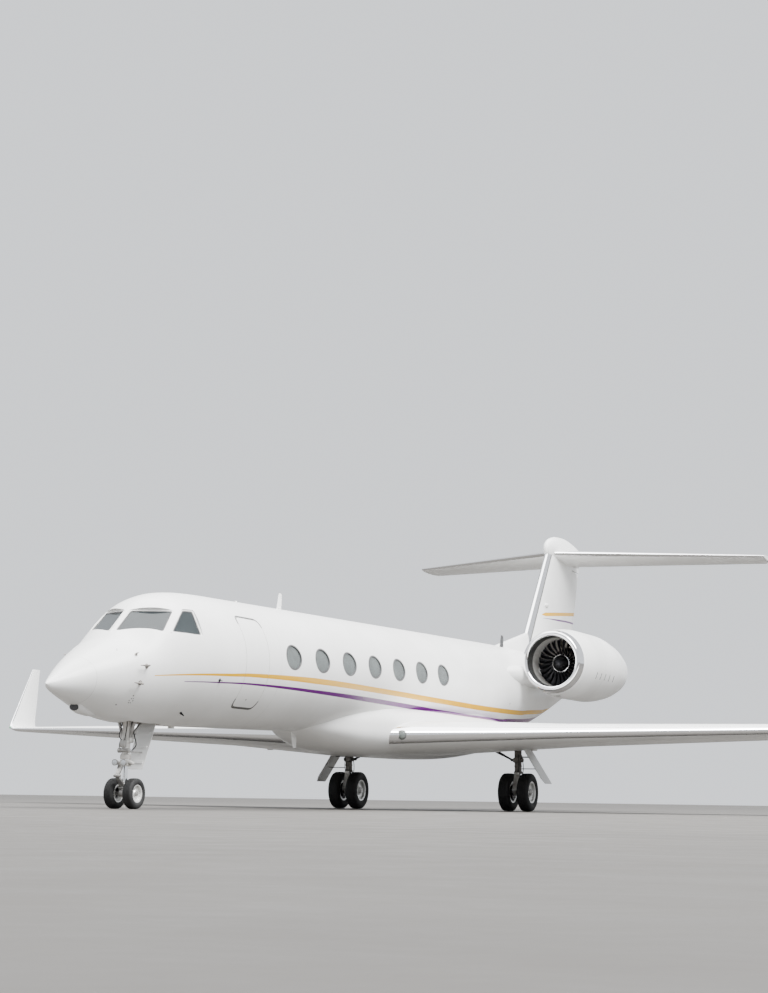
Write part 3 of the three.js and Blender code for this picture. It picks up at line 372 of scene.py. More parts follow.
def piece(target, materials, replaces=(), body="airframe", sharp=32):
    """Turns an object's faces out and gives it its materials, shading and body, and hides the parts it
    replaces.
    """
    mesh = target.data
    outward = bmesh.new()
    outward.from_mesh(mesh)
    bmesh.ops.recalc_face_normals(outward, faces=outward.faces)
    outward.to_mesh(mesh)
    outward.free()
    marks = [p.material_index for p in mesh.polygons]
    mesh.materials.clear()
    for material in materials:
        mesh.materials.append(material)
    mesh.polygons.foreach_set("material_index", marks)
    mesh.shade_smooth()
    mesh.set_sharp_from_angle(angle=math.radians(sharp))
    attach(target, body)
    if replaces:
        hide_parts(*replaces)


def add(name, shapes, material, replaces=(), body="airframe", sharp=35):
    piece(body_object(name, together(*shapes)), [material], replaces, body, sharp)


# Materials
COAT_ROUGHNESS = 0.04
GLOSS_SPREAD = 0.06
FINE_BUMP, BUMP_DEPTH = 200.0, 0.002


def feed(tree, made, inputs):
    """Links or sets the inputs of a node."""
    for key, value in inputs.items():
        if isinstance(value, bpy.types.NodeSocket):
            tree.links.new(value, made.inputs[key])
        else:
            made.inputs[key].default_value = value


def node(tree, kind, inputs=None, output=0, **settings):
    made = tree.nodes.new(kind)
    for key, value in settings.items():
        setattr(made, key, value)
    feed(tree, made, inputs or {})
    return made.outputs[output]


def maths(tree, operation, a, b=0.0):
    return node(tree, "ShaderNodeMath", {0: a, 1: b}, operation=operation)


def distance(tree, a, b):
    return maths(tree, "ABSOLUTE", maths(tree, "SUBTRACT", a, b))


def mixed(tree, share, a, b):
    inputs = {0: share}
    for key, value in ((6, a), (7, b)):
        inputs[key] = value if isinstance(value, bpy.types.NodeSocket) else (*value, 1)
    return node(tree, "ShaderNodeMix", inputs, 2, data_type="RGBA")


def ranged(tree, value, low, high, to_low=0.0, to_high=1.0):
    inputs = {"Value": value, "From Min": low, "From Max": high, "To Min": to_low, "To Max": to_high}
    return node(tree, "ShaderNodeMapRange", inputs)


def noise(tree, place, scale, detail=4.0, rough=0.5):
    inputs = {"Vector": place, "Scale": scale, "Detail": detail, "Roughness": rough}
    return node(tree, "ShaderNodeTexNoise", inputs)


def bump(tree, height, strength, depth):
    return node(tree, "ShaderNodeBump", {"Height": height, "Strength": strength, "Distance": depth})


def start_material(name):
    """A new material with its tree, shader and place."""
    material = bpy.data.materials.new(name)
    material.use_nodes = True
    tree = material.node_tree
    return material, tree, tree.nodes["Principled BSDF"], node(tree, "ShaderNodeTexCoord", output=3)


def finish(name, colour, dark, rough, metallic=0.0, grain=8.0, bumpy=0.0, coat=0.0):
    """A surface with cloudy changes of colour and gloss, and at times a fine bump."""
    material, tree, shader, place = start_material(name)
    share = ranged(tree, noise(tree, place, grain), 0.35, 0.7)
    fine = noise(tree, place, grain * 6)
    feed(tree, shader, {
        "Base Color": mixed(tree, share, dark, colour),
        "Roughness": ranged(tree, fine, 0.3, 0.7, rough + GLOSS_SPREAD, rough - GLOSS_SPREAD),
        "Metallic": metallic,
        "Coat Weight": coat,
        "Coat Roughness": COAT_ROUGHNESS,
    })
    if bumpy:
        feed(tree, shader, {"Normal": bump(tree, noise(tree, place, FINE_BUMP), bumpy, BUMP_DEPTH)})
    return material


# Lines of the painted bands: station and height
YELLOW_LINE = (
    (1.92, 2.245), (2.594, 2.301), (3.278, 2.347), (4.12, 2.393), (5.12, 2.445), (7.78, 2.497),
    (10.98, 2.479), (14.25, 2.443), (17.62, 2.42), (19.5, 2.441), (20.14, 2.482), (22.0, 2.591),
    (24.2, 2.83),
)
PURPLE_LINE = (
    (2.675, 2.189), (3.62, 2.232), (5.21, 2.284), (7.92, 2.294), (11.18, 2.262), (14.56, 2.209),
    (17.0, 2.187), (18.2, 2.184), (18.8, 2.211), (20.11, 2.266), (21.07, 2.331), (22.6, 2.5),
    (24.2, 2.8),
)
FIN_YELLOW_LINE = ((23.0, 5.29), (26.52, 5.62), (28.2, 5.77))
FIN_PURPLE_LINE = ((23.0, 5.22), (24.9, 5.3), (26.26, 5.36), (28.2, 5.39))
# Bands painted on the white: colour, thickness, start and end stations, length of the point, line
YELLOW = (0.66, 0.35, 0.0)
PURPLE = (0.1, 0.004, 0.13)
HULL_BANDS = (
    (YELLOW, 0.112, 1.92, 24.2, 5.5, YELLOW_LINE),
    (PURPLE, 0.095, 2.675, 24.2, 7.5, PURPLE_LINE),
)
FIN_BANDS = (
    (YELLOW, 0.1, 23.55, 28.2, 0.25, FIN_YELLOW_LINE),
    (PURPLE, 0.05, 23.6, 28.2, 1.4, FIN_PURPLE_LINE),
)
BAND_ROOM, BAND_FADE, BAND_EDGE, BAND_TIP = 0.02, 0.02, 0.002, 0.12
WHITE, DULL_WHITE = (0.87, 0.87, 0.86), (0.80, 0.80, 0.785)
SEAM_COLOUR, SEAM_SHARE = (0.25, 0.25, 0.25), 0.4
DIRT_COLOUR, DIRT_SHARE = (0.45, 0.42, 0.38), 0.12


def band_share(tree, y, z, band):
    """How far a point lies in a painted band, from 0 to 1."""
    _, thickness, start, end, pointed, line = band
    first, last = line[0][0], line[-1][0]
    low, high = min(p[1] for p in line) - BAND_ROOM, max(p[1] for p in line) + BAND_ROOM
    curve = tree.nodes.new("ShaderNodeFloatCurve")
    feed(tree, curve, {"Value": ranged(tree, y, y_at(first), y_at(last))})
    places = [((s - first) / (last - first), (h - low) / (high - low)) for s, h in line]
    drawn = curve.mapping.curves[0]
    drawn.points[0].location, drawn.points[1].location = places[0], places[-1]
    for place in places[1:-1]:
        drawn.points.new(*place)
    curve.mapping.update()
    middle = ranged(tree, curve.outputs[0], 0.0, 1.0, low, high)
    taper = ranged(tree, y, y_at(start), y_at(start + pointed), BAND_TIP, 1.0)
    half = maths(tree, "MULTIPLY", taper, thickness / 2)
    past = maths(tree, "SUBTRACT", distance(tree, z, middle), half)
    inside = ranged(tree, past, BAND_EDGE, -BAND_EDGE)
    begun = ranged(tree, y, y_at(start), y_at(start) + BAND_FADE)
    ended = ranged(tree, y, y_at(end), y_at(end) - BAND_FADE)
    return maths(tree, "MULTIPLY", inside, maths(tree, "MULTIPLY", begun, ended))


def white_paint(name, bands=(), seams=()):
    """Gloss white with painted bands, thin seams across the length and a little dirt."""
    material, tree, shader, place = start_material(name)
    parts = tree.nodes.new("ShaderNodeSeparateXYZ")
    feed(tree, parts, {0: place})
    y, z = parts.outputs[1], parts.outputs[2]
    cloud = ranged(tree, noise(tree, place, 0.9, 5.0, 0.6), 0.35, 0.7)
    colour = mixed(tree, cloud, DULL_WHITE, WHITE)
    for band in bands:
        colour = mixed(tree, band_share(tree, y, z, band), colour, band[0])
    for seam in seams:
        share = ranged(tree, distance(tree, y, seam), 0.005, 0.002, 0.0, SEAM_SHARE)
        colour = mixed(tree, share, colour, SEAM_COLOUR)
    streak = ranged(tree, noise(tree, place, 5.0, 6.0, 0.7), 0.62, 0.85, 0.0, DIRT_SHARE)
    feed(tree, shader, {
        "Base Color": mixed(tree, streak, colour, DIRT_COLOUR),
        "Roughness": ranged(tree, noise(tree, place, 12.0), 0.3, 0.7, 0.2, 0.27),
        "Specular IOR Level": 0.25,
        "Normal": bump(tree, noise(tree, place, 90.0), 0.02, 0.001),
    })
    return material


def brushed(name, colour, rough, stretch):
    """Polished metal with fine lines along the part."""
    material, tree, shader, place = start_material(name)
    long = node(tree, "ShaderNodeMapping", {"Vector": place, "Scale": stretch})
    line = noise(tree, long, 20.0, 6.0, 0.6)
    dark = tuple(0.82 * c for c in colour)
    feed(tree, shader, {
        "Base Color": mixed(tree, ranged(tree, line, 0.3, 0.75), dark, colour),
        "Roughness": ranged(tree, line, 0.25, 0.8, rough * 0.7, rough * 1.4),
        "Metallic": 1.0,
    })
    return material


def glass(name, colour, rough, transmission):
    material, tree, shader, place = start_material(name)
    haze = ranged(tree, noise(tree, place, 3.0), 0.3, 0.7)
    feed(tree, shader, {
        "Base Color": mixed(tree, haze, tuple(0.8 * c for c in colour), colour),
        "Roughness": ranged(tree, noise(tree, place, 40.0), 0.3, 0.7, rough, rough + 0.03),
        "Transmission Weight": transmission,
        "Specular IOR Level": 0.2,
    })
    return material


HULL_SEAMS = (RADOME_END, FORWARD_END, CENTRE_END, 17.5, AFT_END)
POD_SEAMS = (0.42, 1.75, 3.05)
PAINT = white_paint("white_paint")
HULL_PAINT = white_paint("striped_paint", HULL_BANDS, [y_at(s) for s in HULL_SEAMS])
FIN_PAINT = white_paint("fin_paint", FIN_BANDS)
POD_PAINT = white_paint("pod_paint", seams=[y_at(ENGINE_STATION) + aft for aft in POD_SEAMS])
GLASS = glass("cockpit_glass", (0.05, 0.062, 0.066), 0.02, 0.5)
PANE = glass("cabin_pane", (0.6, 0.65, 0.64), 0.03, 0.9)
# Metals: name, colour, roughness and how far their lines are drawn out
POLISHED = brushed("polished_edge", (0.9, 0.9, 0.91), 0.12, (1.0, 1.0, 12.0))
LIP_METAL = brushed("polished_lip", (0.9, 0.9, 0.91), 0.08, (1.0, 8.0, 1.0))
CHROME = brushed("chromed_piston", (0.86, 0.87, 0.88), 0.07, (1.0, 1.0, 14.0))
# Other finishes: name, colour, its darker tone, roughness, metallic, grain, bump and coat
STEEL = finish("gear_steel", (0.5, 0.49, 0.47), (0.32, 0.31, 0.3), 0.42, 0.75, 11.0, 0.1)
GEAR_PAINT = finish("gear_paint", (0.78, 0.77, 0.74), (0.48, 0.46, 0.43), 0.36, 0.4, 9.0, 0.08)
GEAR_DARK = finish(
    "gear_dark_paint", (0.3, 0.28, 0.26), (0.18, 0.165, 0.15), 0.45, 0.2, 12.0, 0.1
)
DUCT_METAL = finish("duct_liner", (0.7, 0.69, 0.65), (0.5, 0.49, 0.46), 0.35, 0.5, 14.0)
RIM_PAINT = finish("wheel_rim_paint", (0.9, 0.9, 0.88), (0.7, 0.7, 0.68), 0.36, 0.6, 12.0)
DARK_METAL = finish("dark_metal", (0.03, 0.03, 0.034), (0.012, 0.012, 0.014), 0.34, 0.8, 22.0)
BLACK_METAL = finish("black_rods", (0.05, 0.05, 0.05), (0.02, 0.02, 0.02), 0.4, 0.3, 18.0)
# Dark ring inside the front of the duct: a painted reflection of the ground in the polished inner lip
PAINTED_LIP_REFLECTION = finish("duct_front_painted_reflection", (0.1, 0.1, 0.095), (0.06, 0.06, 0.06), 0.32, 0.6, 16.0)
PANEL_GREY = finish("panel_grey", (0.09, 0.09, 0.095), (0.05, 0.05, 0.055), 0.6, 0.0, 25.0)
SCREEN = finish("display", (0.02, 0.035, 0.05), (0.01, 0.015, 0.02), 0.12, 0.0, 30.0)
CORE_METAL = finish("hot_metal", (0.36, 0.33, 0.3), (0.2, 0.17, 0.15), 0.4, 0.9, 9.0)
TRIM = finish("window_rim", (0.14, 0.14, 0.14), (0.09, 0.09, 0.09), 0.4, 0.3, 25.0)
SEAL = finish("window_seal", (0.055, 0.055, 0.06), (0.03, 0.03, 0.03), 0.5, 0.0, 30.0)
HOSE = finish("rubber_hose", (0.045, 0.045, 0.045), (0.02, 0.02, 0.02), 0.55, 0.0, 40.0)
# Dark lines for panel gaps and seals, and for the painted shadow line behind the fin's polished edge
GAP_AND_SHADOW_LINE = finish("panel_gap", (0.13, 0.13, 0.13), (0.08, 0.08, 0.08), 0.6, 0.0, 20.0)
TYRE = finish(
    "tyre_rubber", (0.018, 0.0175, 0.017), (0.011, 0.011, 0.0115), 0.75, 0.0, 13.0, 0.25
)
LENS = finish("lamp_lens", (0.32, 0.35, 0.33), (0.16, 0.18, 0.17), 0.1, 0.5, 30.0)
RED_GLASS = finish("red_lamp", (0.55, 0.02, 0.015), (0.35, 0.01, 0.01), 0.1, 0.0, 30.0)
GREEN_GLASS = finish("green_lamp", (0.01, 0.4, 0.12), (0.01, 0.25, 0.08), 0.1, 0.0, 30.0)
LAMP = finish("lamp_glass", (0.75, 0.78, 0.8), (0.6, 0.63, 0.66), 0.08, 0.3, 30.0, coat=0.8)
SHADE = finish("window_shade", (0.22, 0.23, 0.22), (0.17, 0.175, 0.17), 0.6, 0.0, 9.0)
LINING_PAINT = finish("cabin_lining", (0.55, 0.52, 0.47), (0.45, 0.42, 0.38), 0.6, 0.0, 6.0)
LEATHER = finish("seat_leather", (0.22, 0.2, 0.18), (0.13, 0.12, 0.11), 0.5, 0.0, 15.0, 0.3)


# Fuselage
def frame_at(station):
    return [smooth(HULL_FRAMES, station, column) for column in (1, 2, 3, 4)]


def skin_place(station, height):
    """The half width, how far a height lies above the widest point, and how far the skin reaches there."""
    crown, keel, waist, half_width = frame_at(station)
    up = height - axis_at(station) - waist
    return half_width, up, crown - waist if up > 0 else waist - keel


def skin_side(station, height, inset=0.0):
    """How far out the skin is at a height, or a surface inside it."""
    half_width, up, reach = skin_place(station, height)
    return (half_width - inset) * math.sqrt(max(1 - (up / (reach - inset)) ** 2, 0.0))


def hull_ring(station, inset=0.0, floor=False):
    crown, keel, waist, half_width = frame_at(station)
    width = max(half_width - inset, 0.004)
    ring = []
    for t in circle(ROUND):
        reach = crown - waist if math.sin(t) > 0 else waist - keel
        height = axis_at(station) + waist + max(reach - inset, 0.004) * math.sin(t)
        if floor:
            height = max(height, axis_at(station) - FLOOR_DROP)
        ring.append((width * math.cos(t), y_at(station), height))
    return ring


def hull(stations, inset=0.0):
    return loft([hull_ring(s, inset) for s in stations])


def shell(start, end, pitch):
    """A stretch of skin with its lining and floor, closed at the front if the inside starts behind it."""
    first = max(start, CAVITY_START)
    points, faces = loft([hull_ring(s) for s in steps(start, end, pitch)], caps=False)
    inner = [hull_ring(s, WALL, floor=s <= CAVITY_FLOOR_END) for s in steps(first, end, pitch)]
    inner_points, inner_faces = loft(inner, caps=False)
    base = len(points)
    faces += [tuple(i + base for i in face)[::-1] for face in inner_faces]
    points += inner_points
    last_out, last_in = base - ROUND, len(points) - ROUND
    for i in range(ROUND):
        j = (i + 1) % ROUND
        faces.append((last_out + i, last_out + j, last_in + j, last_in + i))
        if CAVITY_START <= start:
            faces.append((i, base + i, base + j, j))
    if CAVITY_START > start:
        faces.append(tuple(range(ROUND))[::-1])
        faces.append(tuple(base + i for i in range(ROUND)))
    return points, faces


def mark_inside(target, inset=0.05):
    """Marks the lining's faces, which lie well inside the skin or across the floor."""
    for face in target.data.polygons:
        x, y, z = face.center
        half_width, up, reach = skin_place(y + LENGTH / 2, z)
        size = math.hypot(x / max(half_width, 0.01), up / max(reach, 0.01))
        face.material_index = 1 if size < 1 - inset / max(half_width, 0.06) else 0
    return target


def window_middle(number):
    station = WINDOW_FIRST + number * WINDOW_PITCH
    return station, axis_at(station) + WINDOW_ABOVE_AXIS


def window_outline(number, inset, sides=48):
    station, height = window_middle(number)
    wide, high = WINDOW_WIDTH / 2 - inset, WINDOW_HEIGHT / 2 - inset
    return [(y_at(station) + wide * math.cos(t), height + high * math.sin(t)) for t in circle(sides)]


def inset_outline(points, amount):
    """A convex outline moved inwards."""
    points = [Vector(p) for p in points]
    middle = sum(points, Vector((0, 0))) / len(points)
    result = []
    for i, point in enumerate(points):
        edges = [(point - points[i - 1]).normalized(), (points[(i + 1) % len(points)] - point).normalized()]
        inward = [Vector((-e.y, e.x)) for e in edges]
        inward = [n if n.dot(middle - point) > 0 else -n for n in inward]
        bisector = (inward[0] + inward[1]).normalized()
        result.append(point + bisector * (amount / bisector.dot(inward[0])))
    return result


def rounded_outline(points, radius, count=6):
    result = []
    for i, point in enumerate(points):
        enter = point + (points[i - 1] - point).normalized() * radius
        leave = point + (points[(i + 1) % len(points)] - point).normalized() * radius
        for t in shares(count):
            result.append((1 - t) ** 2 * enter + 2 * t * (1 - t) * point + t**2 * leave)
    return result


def pane_frame(corners):
    """A pane's flat frame: its middle, its two directions, the one out of it, and its corners in them."""
    points = [Vector((x, y_at(station), z)) for x, station, z in corners]
    middle = sum(points, Vector()) / len(points)
    normal = (points[2] - points[0]).cross(points[3] - points[1]).normalized()
    edge = points[1] - points[0]
    along = (edge - normal * edge.dot(normal)).normalized()
    across = normal.cross(along)
    flat = [Vector(((p - middle).dot(along), (p - middle).dot(across))) for p in points]
    return middle, along, across, normal, flat


def pane_outline(corners, inset, out):
    """The outline of a pane moved inwards, at a distance out of its plane."""
    middle, along, across, normal, flat = pane_frame(corners)
    rounded = rounded_outline(inset_outline(flat, inset), PANE_CORNER)
    return [middle + along * p.x + across * p.y + normal * out for p in rounded]


def pane_block(corners, inset, low, high):
    return loft([pane_outline(corners, inset, out) for out in (low, high)])


def pane_ring(corners, outer, inner, low, high):
    """A frame round a pane, between two insets and two distances out of its plane."""
    spots = ((outer, low), (outer, high), (inner, high), (inner, low))
    return loft([pane_outline(corners, inset, out) for inset, out in spots], ring=True)


def door_outline(inset):
    low, high = (y_at(DOOR_START), DOOR_BOTTOM), (y_at(DOOR_END), DOOR_TOP)
    corners = [Vector(low), Vector((high[0], low[1])), Vector(high), Vector((low[0], high[1]))]
    return [tuple(p) for p in rounded_outline(inset_outline(corners, inset), DOOR_CORNER - inset)]


# The room of the nose gear, as lowest and highest corner of x, station and height
NOSE_BAY = ((-0.25, 2.17, 1.2), (0.25, 3.23, 1.79))
SKIN_CUT, CABIN_CUT, DOOR_MARGIN = (0.3, 1.5), (-1.4, 1.4), 0.1


def make_skin(name, start, end, pitch, cutters, replaced, body="airframe", operation="DIFFERENCE"):
    skin = body_object(name, shell(start, end, pitch))
    if cutters:
        carve(skin, cutters, operation)
    piece(mark_inside(skin), [HULL_PAINT, LINING_PAINT], [replaced], body, sharp=32)


def make_fuselage():
    piece(body_object("radome_skin", hull(NOSE_STATIONS)), [HULL_PAINT], ["radome"])
    cutters = [prism(door_outline(0), "x", *SKIN_CUT)]
    for corners in (WINDSHIELD, SIDE_WINDOW):
        cutters += both(pane_block(corners, -FACET_MARGIN, -FACET_DROP, 0.3))
        cutters += both(pane_block(corners, 0, -0.25, 0.3))
    cutters.append(box(*[(x, y_at(station), z) for x, station, z in NOSE_BAY]))
    make_skin("forward_skin", RADOME_END + GAP, FORWARD_END, 0.1, cutters, "forward_fuselage")
    inside = [prism(door_outline(DOOR_GAP), "x", *SKIN_CUT)]
    ends = (DOOR_START - DOOR_MARGIN, DOOR_END + DOOR_MARGIN)
    make_skin("door_skin", *ends, 0.1, inside, "entry_door", "door", "INTERSECT")
    holes = together(*[prism(window_outline(i, 0), "x", *CABIN_CUT) for i in range(WINDOW_COUNT)])
    make_skin("centre_skin", FORWARD_END + GAP, CENTRE_END, 0.3, [holes], "centre_fuselage")
    make_skin("aft_skin", CENTRE_END + GAP, AFT_END, 0.3, [], "aft_fuselage")
    cone = body_object("tail_cone_skin", hull(steps(AFT_END + GAP, CONE_END, 0.2)))
    piece(cone, [HULL_PAINT], ["tail_cone"])


# Aerofoils
TRAIL_THICKNESS = 0.01
# How far back the polished edges run, as shares of the chord, and where the fin's painted shadow line behind
# its edge ends
WING_EDGE, WINGLET_EDGE, TAILPLANE_EDGE, EDGE_END, SHADOW_LINE_END = 0.035, 0.06, 0.05, 0.047, 0.061
FOIL_PLACES = sorted([*[0.5 * (1 - math.cos(math.pi * i / 36)) for i in range(37)], SHADOW_LINE_END])
FAR = LENGTH / 2 + 0.5


def foil_half(place, thickness):
    """Half the thickness of a usual symmetric section, with a blunt trailing edge."""
    bend = 0.2969 * math.sqrt(place) - 0.126 * place - 0.3516 * place**2
    curve = bend + 0.2843 * place**3 - 0.1036 * place**4
    return 5 * thickness * curve + TRAIL_THICKNESS / 2 * place


def foil_ring(nose, chord, thickness, lean=0.0, grow=0.0, drop=0.0):
    lean = math.radians(lean)
    across = Vector((-math.sin(lean), 0, math.cos(lean)))
    rows = [(p, foil_half(p, thickness) + grow) for p in FOIL_PLACES]
    rows += [(p, -foil_half(p, thickness) - grow) for p in FOIL_PLACES[:0:-1]]
    return [
        Vector(nose) + Vector((0, p * chord + (2 * p - 1) * grow, -p * drop)) + across * half
        for p, half in rows
    ]


def surface(rows, grow=0.0):
    """A wing between sections of x, leading edge, trailing edge, height, at times a drop, and thickness."""
    rings = []
    for row in rows:
        x, lead, trail, z = row[:4]
        drop = row[4] if len(row) == 6 else 0.0
        rings.append(foil_ring((x, y_at(lead), z), trail - lead, row[-1], 0, grow, drop))
    return loft(rings)


def nose_marks(shape, ring_count, reach, line=False):
    """Marks the faces of a lofted wing whose chord share is under the reach, and a dark line behind them
    that is painted shadow.
    """
    count = len(FOIL_PLACES) * 2 - 1
    furthest = [max(share_of(i), share_of((i + 1) % count)) for i in range(count)]
    strip = [1 if far <= reach else 2 if line and far <= SHADOW_LINE_END else 0 for far in furthest]
    marks = strip * (ring_count - 1)
    return marks + [0] * (len(shape[1]) - len(marks))


def share_of(i):
    count = len(FOIL_PLACES)
    return FOIL_PLACES[i] if i < count else FOIL_PLACES[2 * count - 1 - i]


def chord_point(rows, place, share):
    lead, trail, thick = (straight(rows, place, column) for column in (1, 2, -1))
    return y_at(lead + share * (trail - lead)), foil_half(share, thick)


def panel_room(ends, swing, block):
    """The space that a hinged panel needs in its wing: aft of the hinge, and the cove round its nose."""
    a, b = Vector(ends[0][0]), Vector(ends[1][0])
    factor = 1 / math.cos(math.radians(swing))
    reach = (b - a).normalized() * END_GAP
    radii = [half * factor + HINGE_GAP for _, half in ends]
    return [block, rod(a - reach, b + reach, radii[0], radii[1], 32)]


def span_block(ends, grown):
    """What lies aft of a hinge line, a little wider if it is to be grown."""
    inner, outer = ends[0][0], ends[1][0]
    slope = (outer[1] - inner[1]) / (outer[0] - inner[0])
    x1, x2 = inner[0] - grown * END_GAP, outer[0] + grown * END_GAP
    edge1, edge2 = inner[1] + slope * (x1 - inner[0]), inner[1] + slope * (x2 - inner[0])
    return prism([(x1, edge1), (x2, edge2), (x2, FAR), (x1, FAR)], "z", 0.5, 8.5)


def hinge_end(rows, x, share):
    y, half = chord_point(rows, x, share)
    drop = straight(rows, x, 4) if len(rows[0]) == 6 else 0.0
    return (x, y, straight(rows, x, 3) - share * drop), half


def make_panel(name, whole, block, ends, replaced, body, side="left", material=PAINT):
    """A hinged panel: the part of the wing aft of its hinge, with a round nose."""
    panel = carve(body_object(name, on_side(side, whole)), [on_side(side, block)], "INTERSECT")
    nose = on_side(side, rod(ends[0][0], ends[1][0], ends[0][1], ends[1][1], 32))
    piece(body_object(name, together(shape_of(panel), nose)), [material], [replaced], body)


# The flap's gap at its hinge and ends, and the wing's jack pad as x, station, and lower and upper height
FLAP_GAP = 0.007
JACK_PAD = (3.3, 14.2, 1.34, 1.46)


def make_wing(side):
    whole = surface(WING)
    wing = body_object(f"wing_skin_{side}", on_side(side, whole), nose_marks(whole, len(WING), WING_EDGE))
    ends = [hinge_end(WING, x, AILERON_HINGE) for x in (AILERON_START, AILERON_END)]
    room = panel_room(ends, AILERON_SWING, span_block(ends, 1))
    line = [(x, chord_point(WING, x, FLAP_CUT)[0]) for x in (FLAP_START, WING[1][0], FLAP_END)]
    far = LENGTH / 2
    flap_room = prism([*line, (line[2][0], far), (line[0][0], far)], "z", 0.5, 3.5)
    carve(wing, [on_side(side, shape) for shape in (*room, flap_room)])
    piece(wing, [PAINT, POLISHED], [f"wing_{side}"])
    names = (f"aileron_{side}", f"aileron_panel_{side}")
    make_panel(f"aileron_skin_{side}", whole, span_block(ends, 0), ends, *names, side)
    (x1, y1), (x2, y2), (x3, y3) = line
    x1, x3 = x1 + FLAP_GAP, x3 - FLAP_GAP
    outline = [(x1, y1 + FLAP_GAP), (x2, y2 + FLAP_GAP), (x3, y3 + FLAP_GAP), (x3, far), (x1, far)]
    flap = body_object(f"flap_skin_{side}", on_side(side, whole))
    carve(flap, [on_side(side, prism(outline, "z", 0.5, 3.5))], "INTERSECT")
    piece(flap, [PAINT], [f"flap_{side}"])
    rings = winglet_rings()
    marks = nose_marks(loft(rings), len(rings), WINGLET_EDGE)
    winglet = body_object(f"winglet_skin_{side}", on_side(side, loft(rings)), marks)
    piece(winglet, [PAINT, POLISHED], [f"winglet_{side}"])
    x, station, low, high = JACK_PAD
    pad = rod((x, y_at(station), low), (x, y_at(station), high), 0.07, sides=32)
    piece(body_object(f"jack_pad_{side}", on_side(side, pad)), [DUCT_METAL])


def winglet_rings():
    """The winglet's sections, spaced along its length."""
    rows, span = [], 0.0
    for i, row in enumerate(WINGLET):
        if i:
            span += math.dist((row[0], row[2]), (WINGLET[i - 1][0], WINGLET[i - 1][2]))
        rows.append((span, *row))
    rings = []
    for place in steps(0, span, 0.06):
        x, station, z, chord, thick, lean = (smooth(rows, place, column) for column in range(1, 7))
        rings.append(foil_ring((x, y_at(station), z), chord, thick, lean))
    return rings


def fairing_ring(station):
    half_width, bottom, top = (smooth(FAIRING, station, column) for column in (1, 2, 3))
    power = 2 / FAIRING_FULLNESS
    ring = []
    for t in circle(ROUND):
        across = math.copysign(abs(math.cos(t)) ** power, math.cos(t))
        up = math.copysign(abs(math.sin(t)) ** power, math.sin(t))
        ring.append((half_width * across, y_at(station), (bottom + top) / 2 + (top - bottom) / 2 * up))
    return ring


def make_fairing():
    stations = steps(FAIRING[0][0], FAIRING[-1][0], 0.2)
    fairing = body_object("belly_fairing", loft([fairing_ring(s) for s in stations]))
    carve(fairing, [hull([7.0, *steps(17.5, AFT_END, 0.3)], -GAP), *both(surface(WING, GAP))])
    piece(fairing, [HULL_PAINT], ["wing_body_fairing"], sharp=40)


# Tail
TAIL_STATIONS = [17.5, *steps(17.8, CONE_END, 0.3)]
TAIL_SPAN = [(-TAILPLANE[1][0], *TAILPLANE[1][1:]), *TAILPLANE]
# The dorsal fillet's sections as station, height, chord and thickness, and what is kept of it
FILLET = ((19.7, 4.085, 6.0, 0.3), (23.3, 4.9, 2.0, 0.15))
FILLET_BOTTOM, FILLET_TOP, FILLET_AHEAD, FILLET_BEHIND = 3.9, 5.1, 0.1, 0.6


def rudder_block(ends, below, above):
    """What lies aft of the rudder's hinge, from some way below the rudder to some way above it."""
    (_, y1, z1), (_, y2, z2) = ends[0][0], ends[1][0]
    slope = (y2 - y1) / (z2 - z1)
    low, high = z1 - below, z2 + above
    edges = [y1 + slope * (height - z1) for height in (low, high)]
    return prism([(edges[0], low), (FAR, low), (FAR, high), (edges[1], high)], "x", -0.6, 0.6)


def make_fin():
    whole = loft([foil_ring((0, y_at(lead), z), trail - lead, thick, 90) for z, lead, trail, thick in FIN])
    # The faces just behind the fin's polished edge take a dark painted shadow line
    fin = body_object("fin_skin", whole, nose_marks(whole, len(FIN), EDGE_END, True))
    ends = []
    for height in (RUDDER_BOTTOM, RUDDER_TOP):
        y, half = chord_point(FIN, height, RUDDER_HINGE)
        ends.append(((0, y, height), half))
    room = panel_room(ends, RUDDER_SWING, rudder_block(ends, END_GAP, RUDDER_TOP_GAP))
    carve(fin, [*room, hull(TAIL_STATIONS, -GAP), surface(TAIL_SPAN, GAP)])
    piece(fin, [FIN_PAINT, POLISHED, GAP_AND_SHADOW_LINE], ["fin"])
    block = rudder_block(ends, 0, 0)
    make_panel("rudder_skin", whole, block, ends, "rudder", "rudder_panel", material=FIN_PAINT)


def make_fillet():
    rings = [foil_ring((0, y_at(s), z), chord, thick, 90) for s, z, chord, thick in FILLET]
    fillet = body_object("dorsal_fillet", loft(rings))
    first = y_at(FILLET[0][0]) - FILLET_AHEAD
    last = chord_point(FIN, RUDDER_BOTTOM, RUDDER_HINGE)[0] - FILLET_BEHIND
    low, high = FILLET_BOTTOM, FILLET_TOP
    kept = prism([(first, low), (last, low), (last, high), (first, high)], "x", -0.5, 0.5)
    carve(fillet, [kept], "INTERSECT")
    carve(fillet, [hull(TAIL_STATIONS, -GAP)])
    piece(fillet, [PAINT])


def make_bullet():
    rings = []
    for even in shares(41):
        share = even**1.4
        size = smooth(BULLET_SHAPE, share, 1)
        y = y_at(BULLET["start"] + share * (BULLET["end"] - BULLET["start"]))
        wide, high = BULLET["half_width"] * size, BULLET["half_height"] * size
        rings.append([(wide * math.cos(t), y, BULLET["height"] + high * math.sin(t)) for t in circle(64)])
    piece(carve(body_object("tail_bullet", loft(rings)), [surface(TAIL_SPAN, GAP)]), [PAINT])


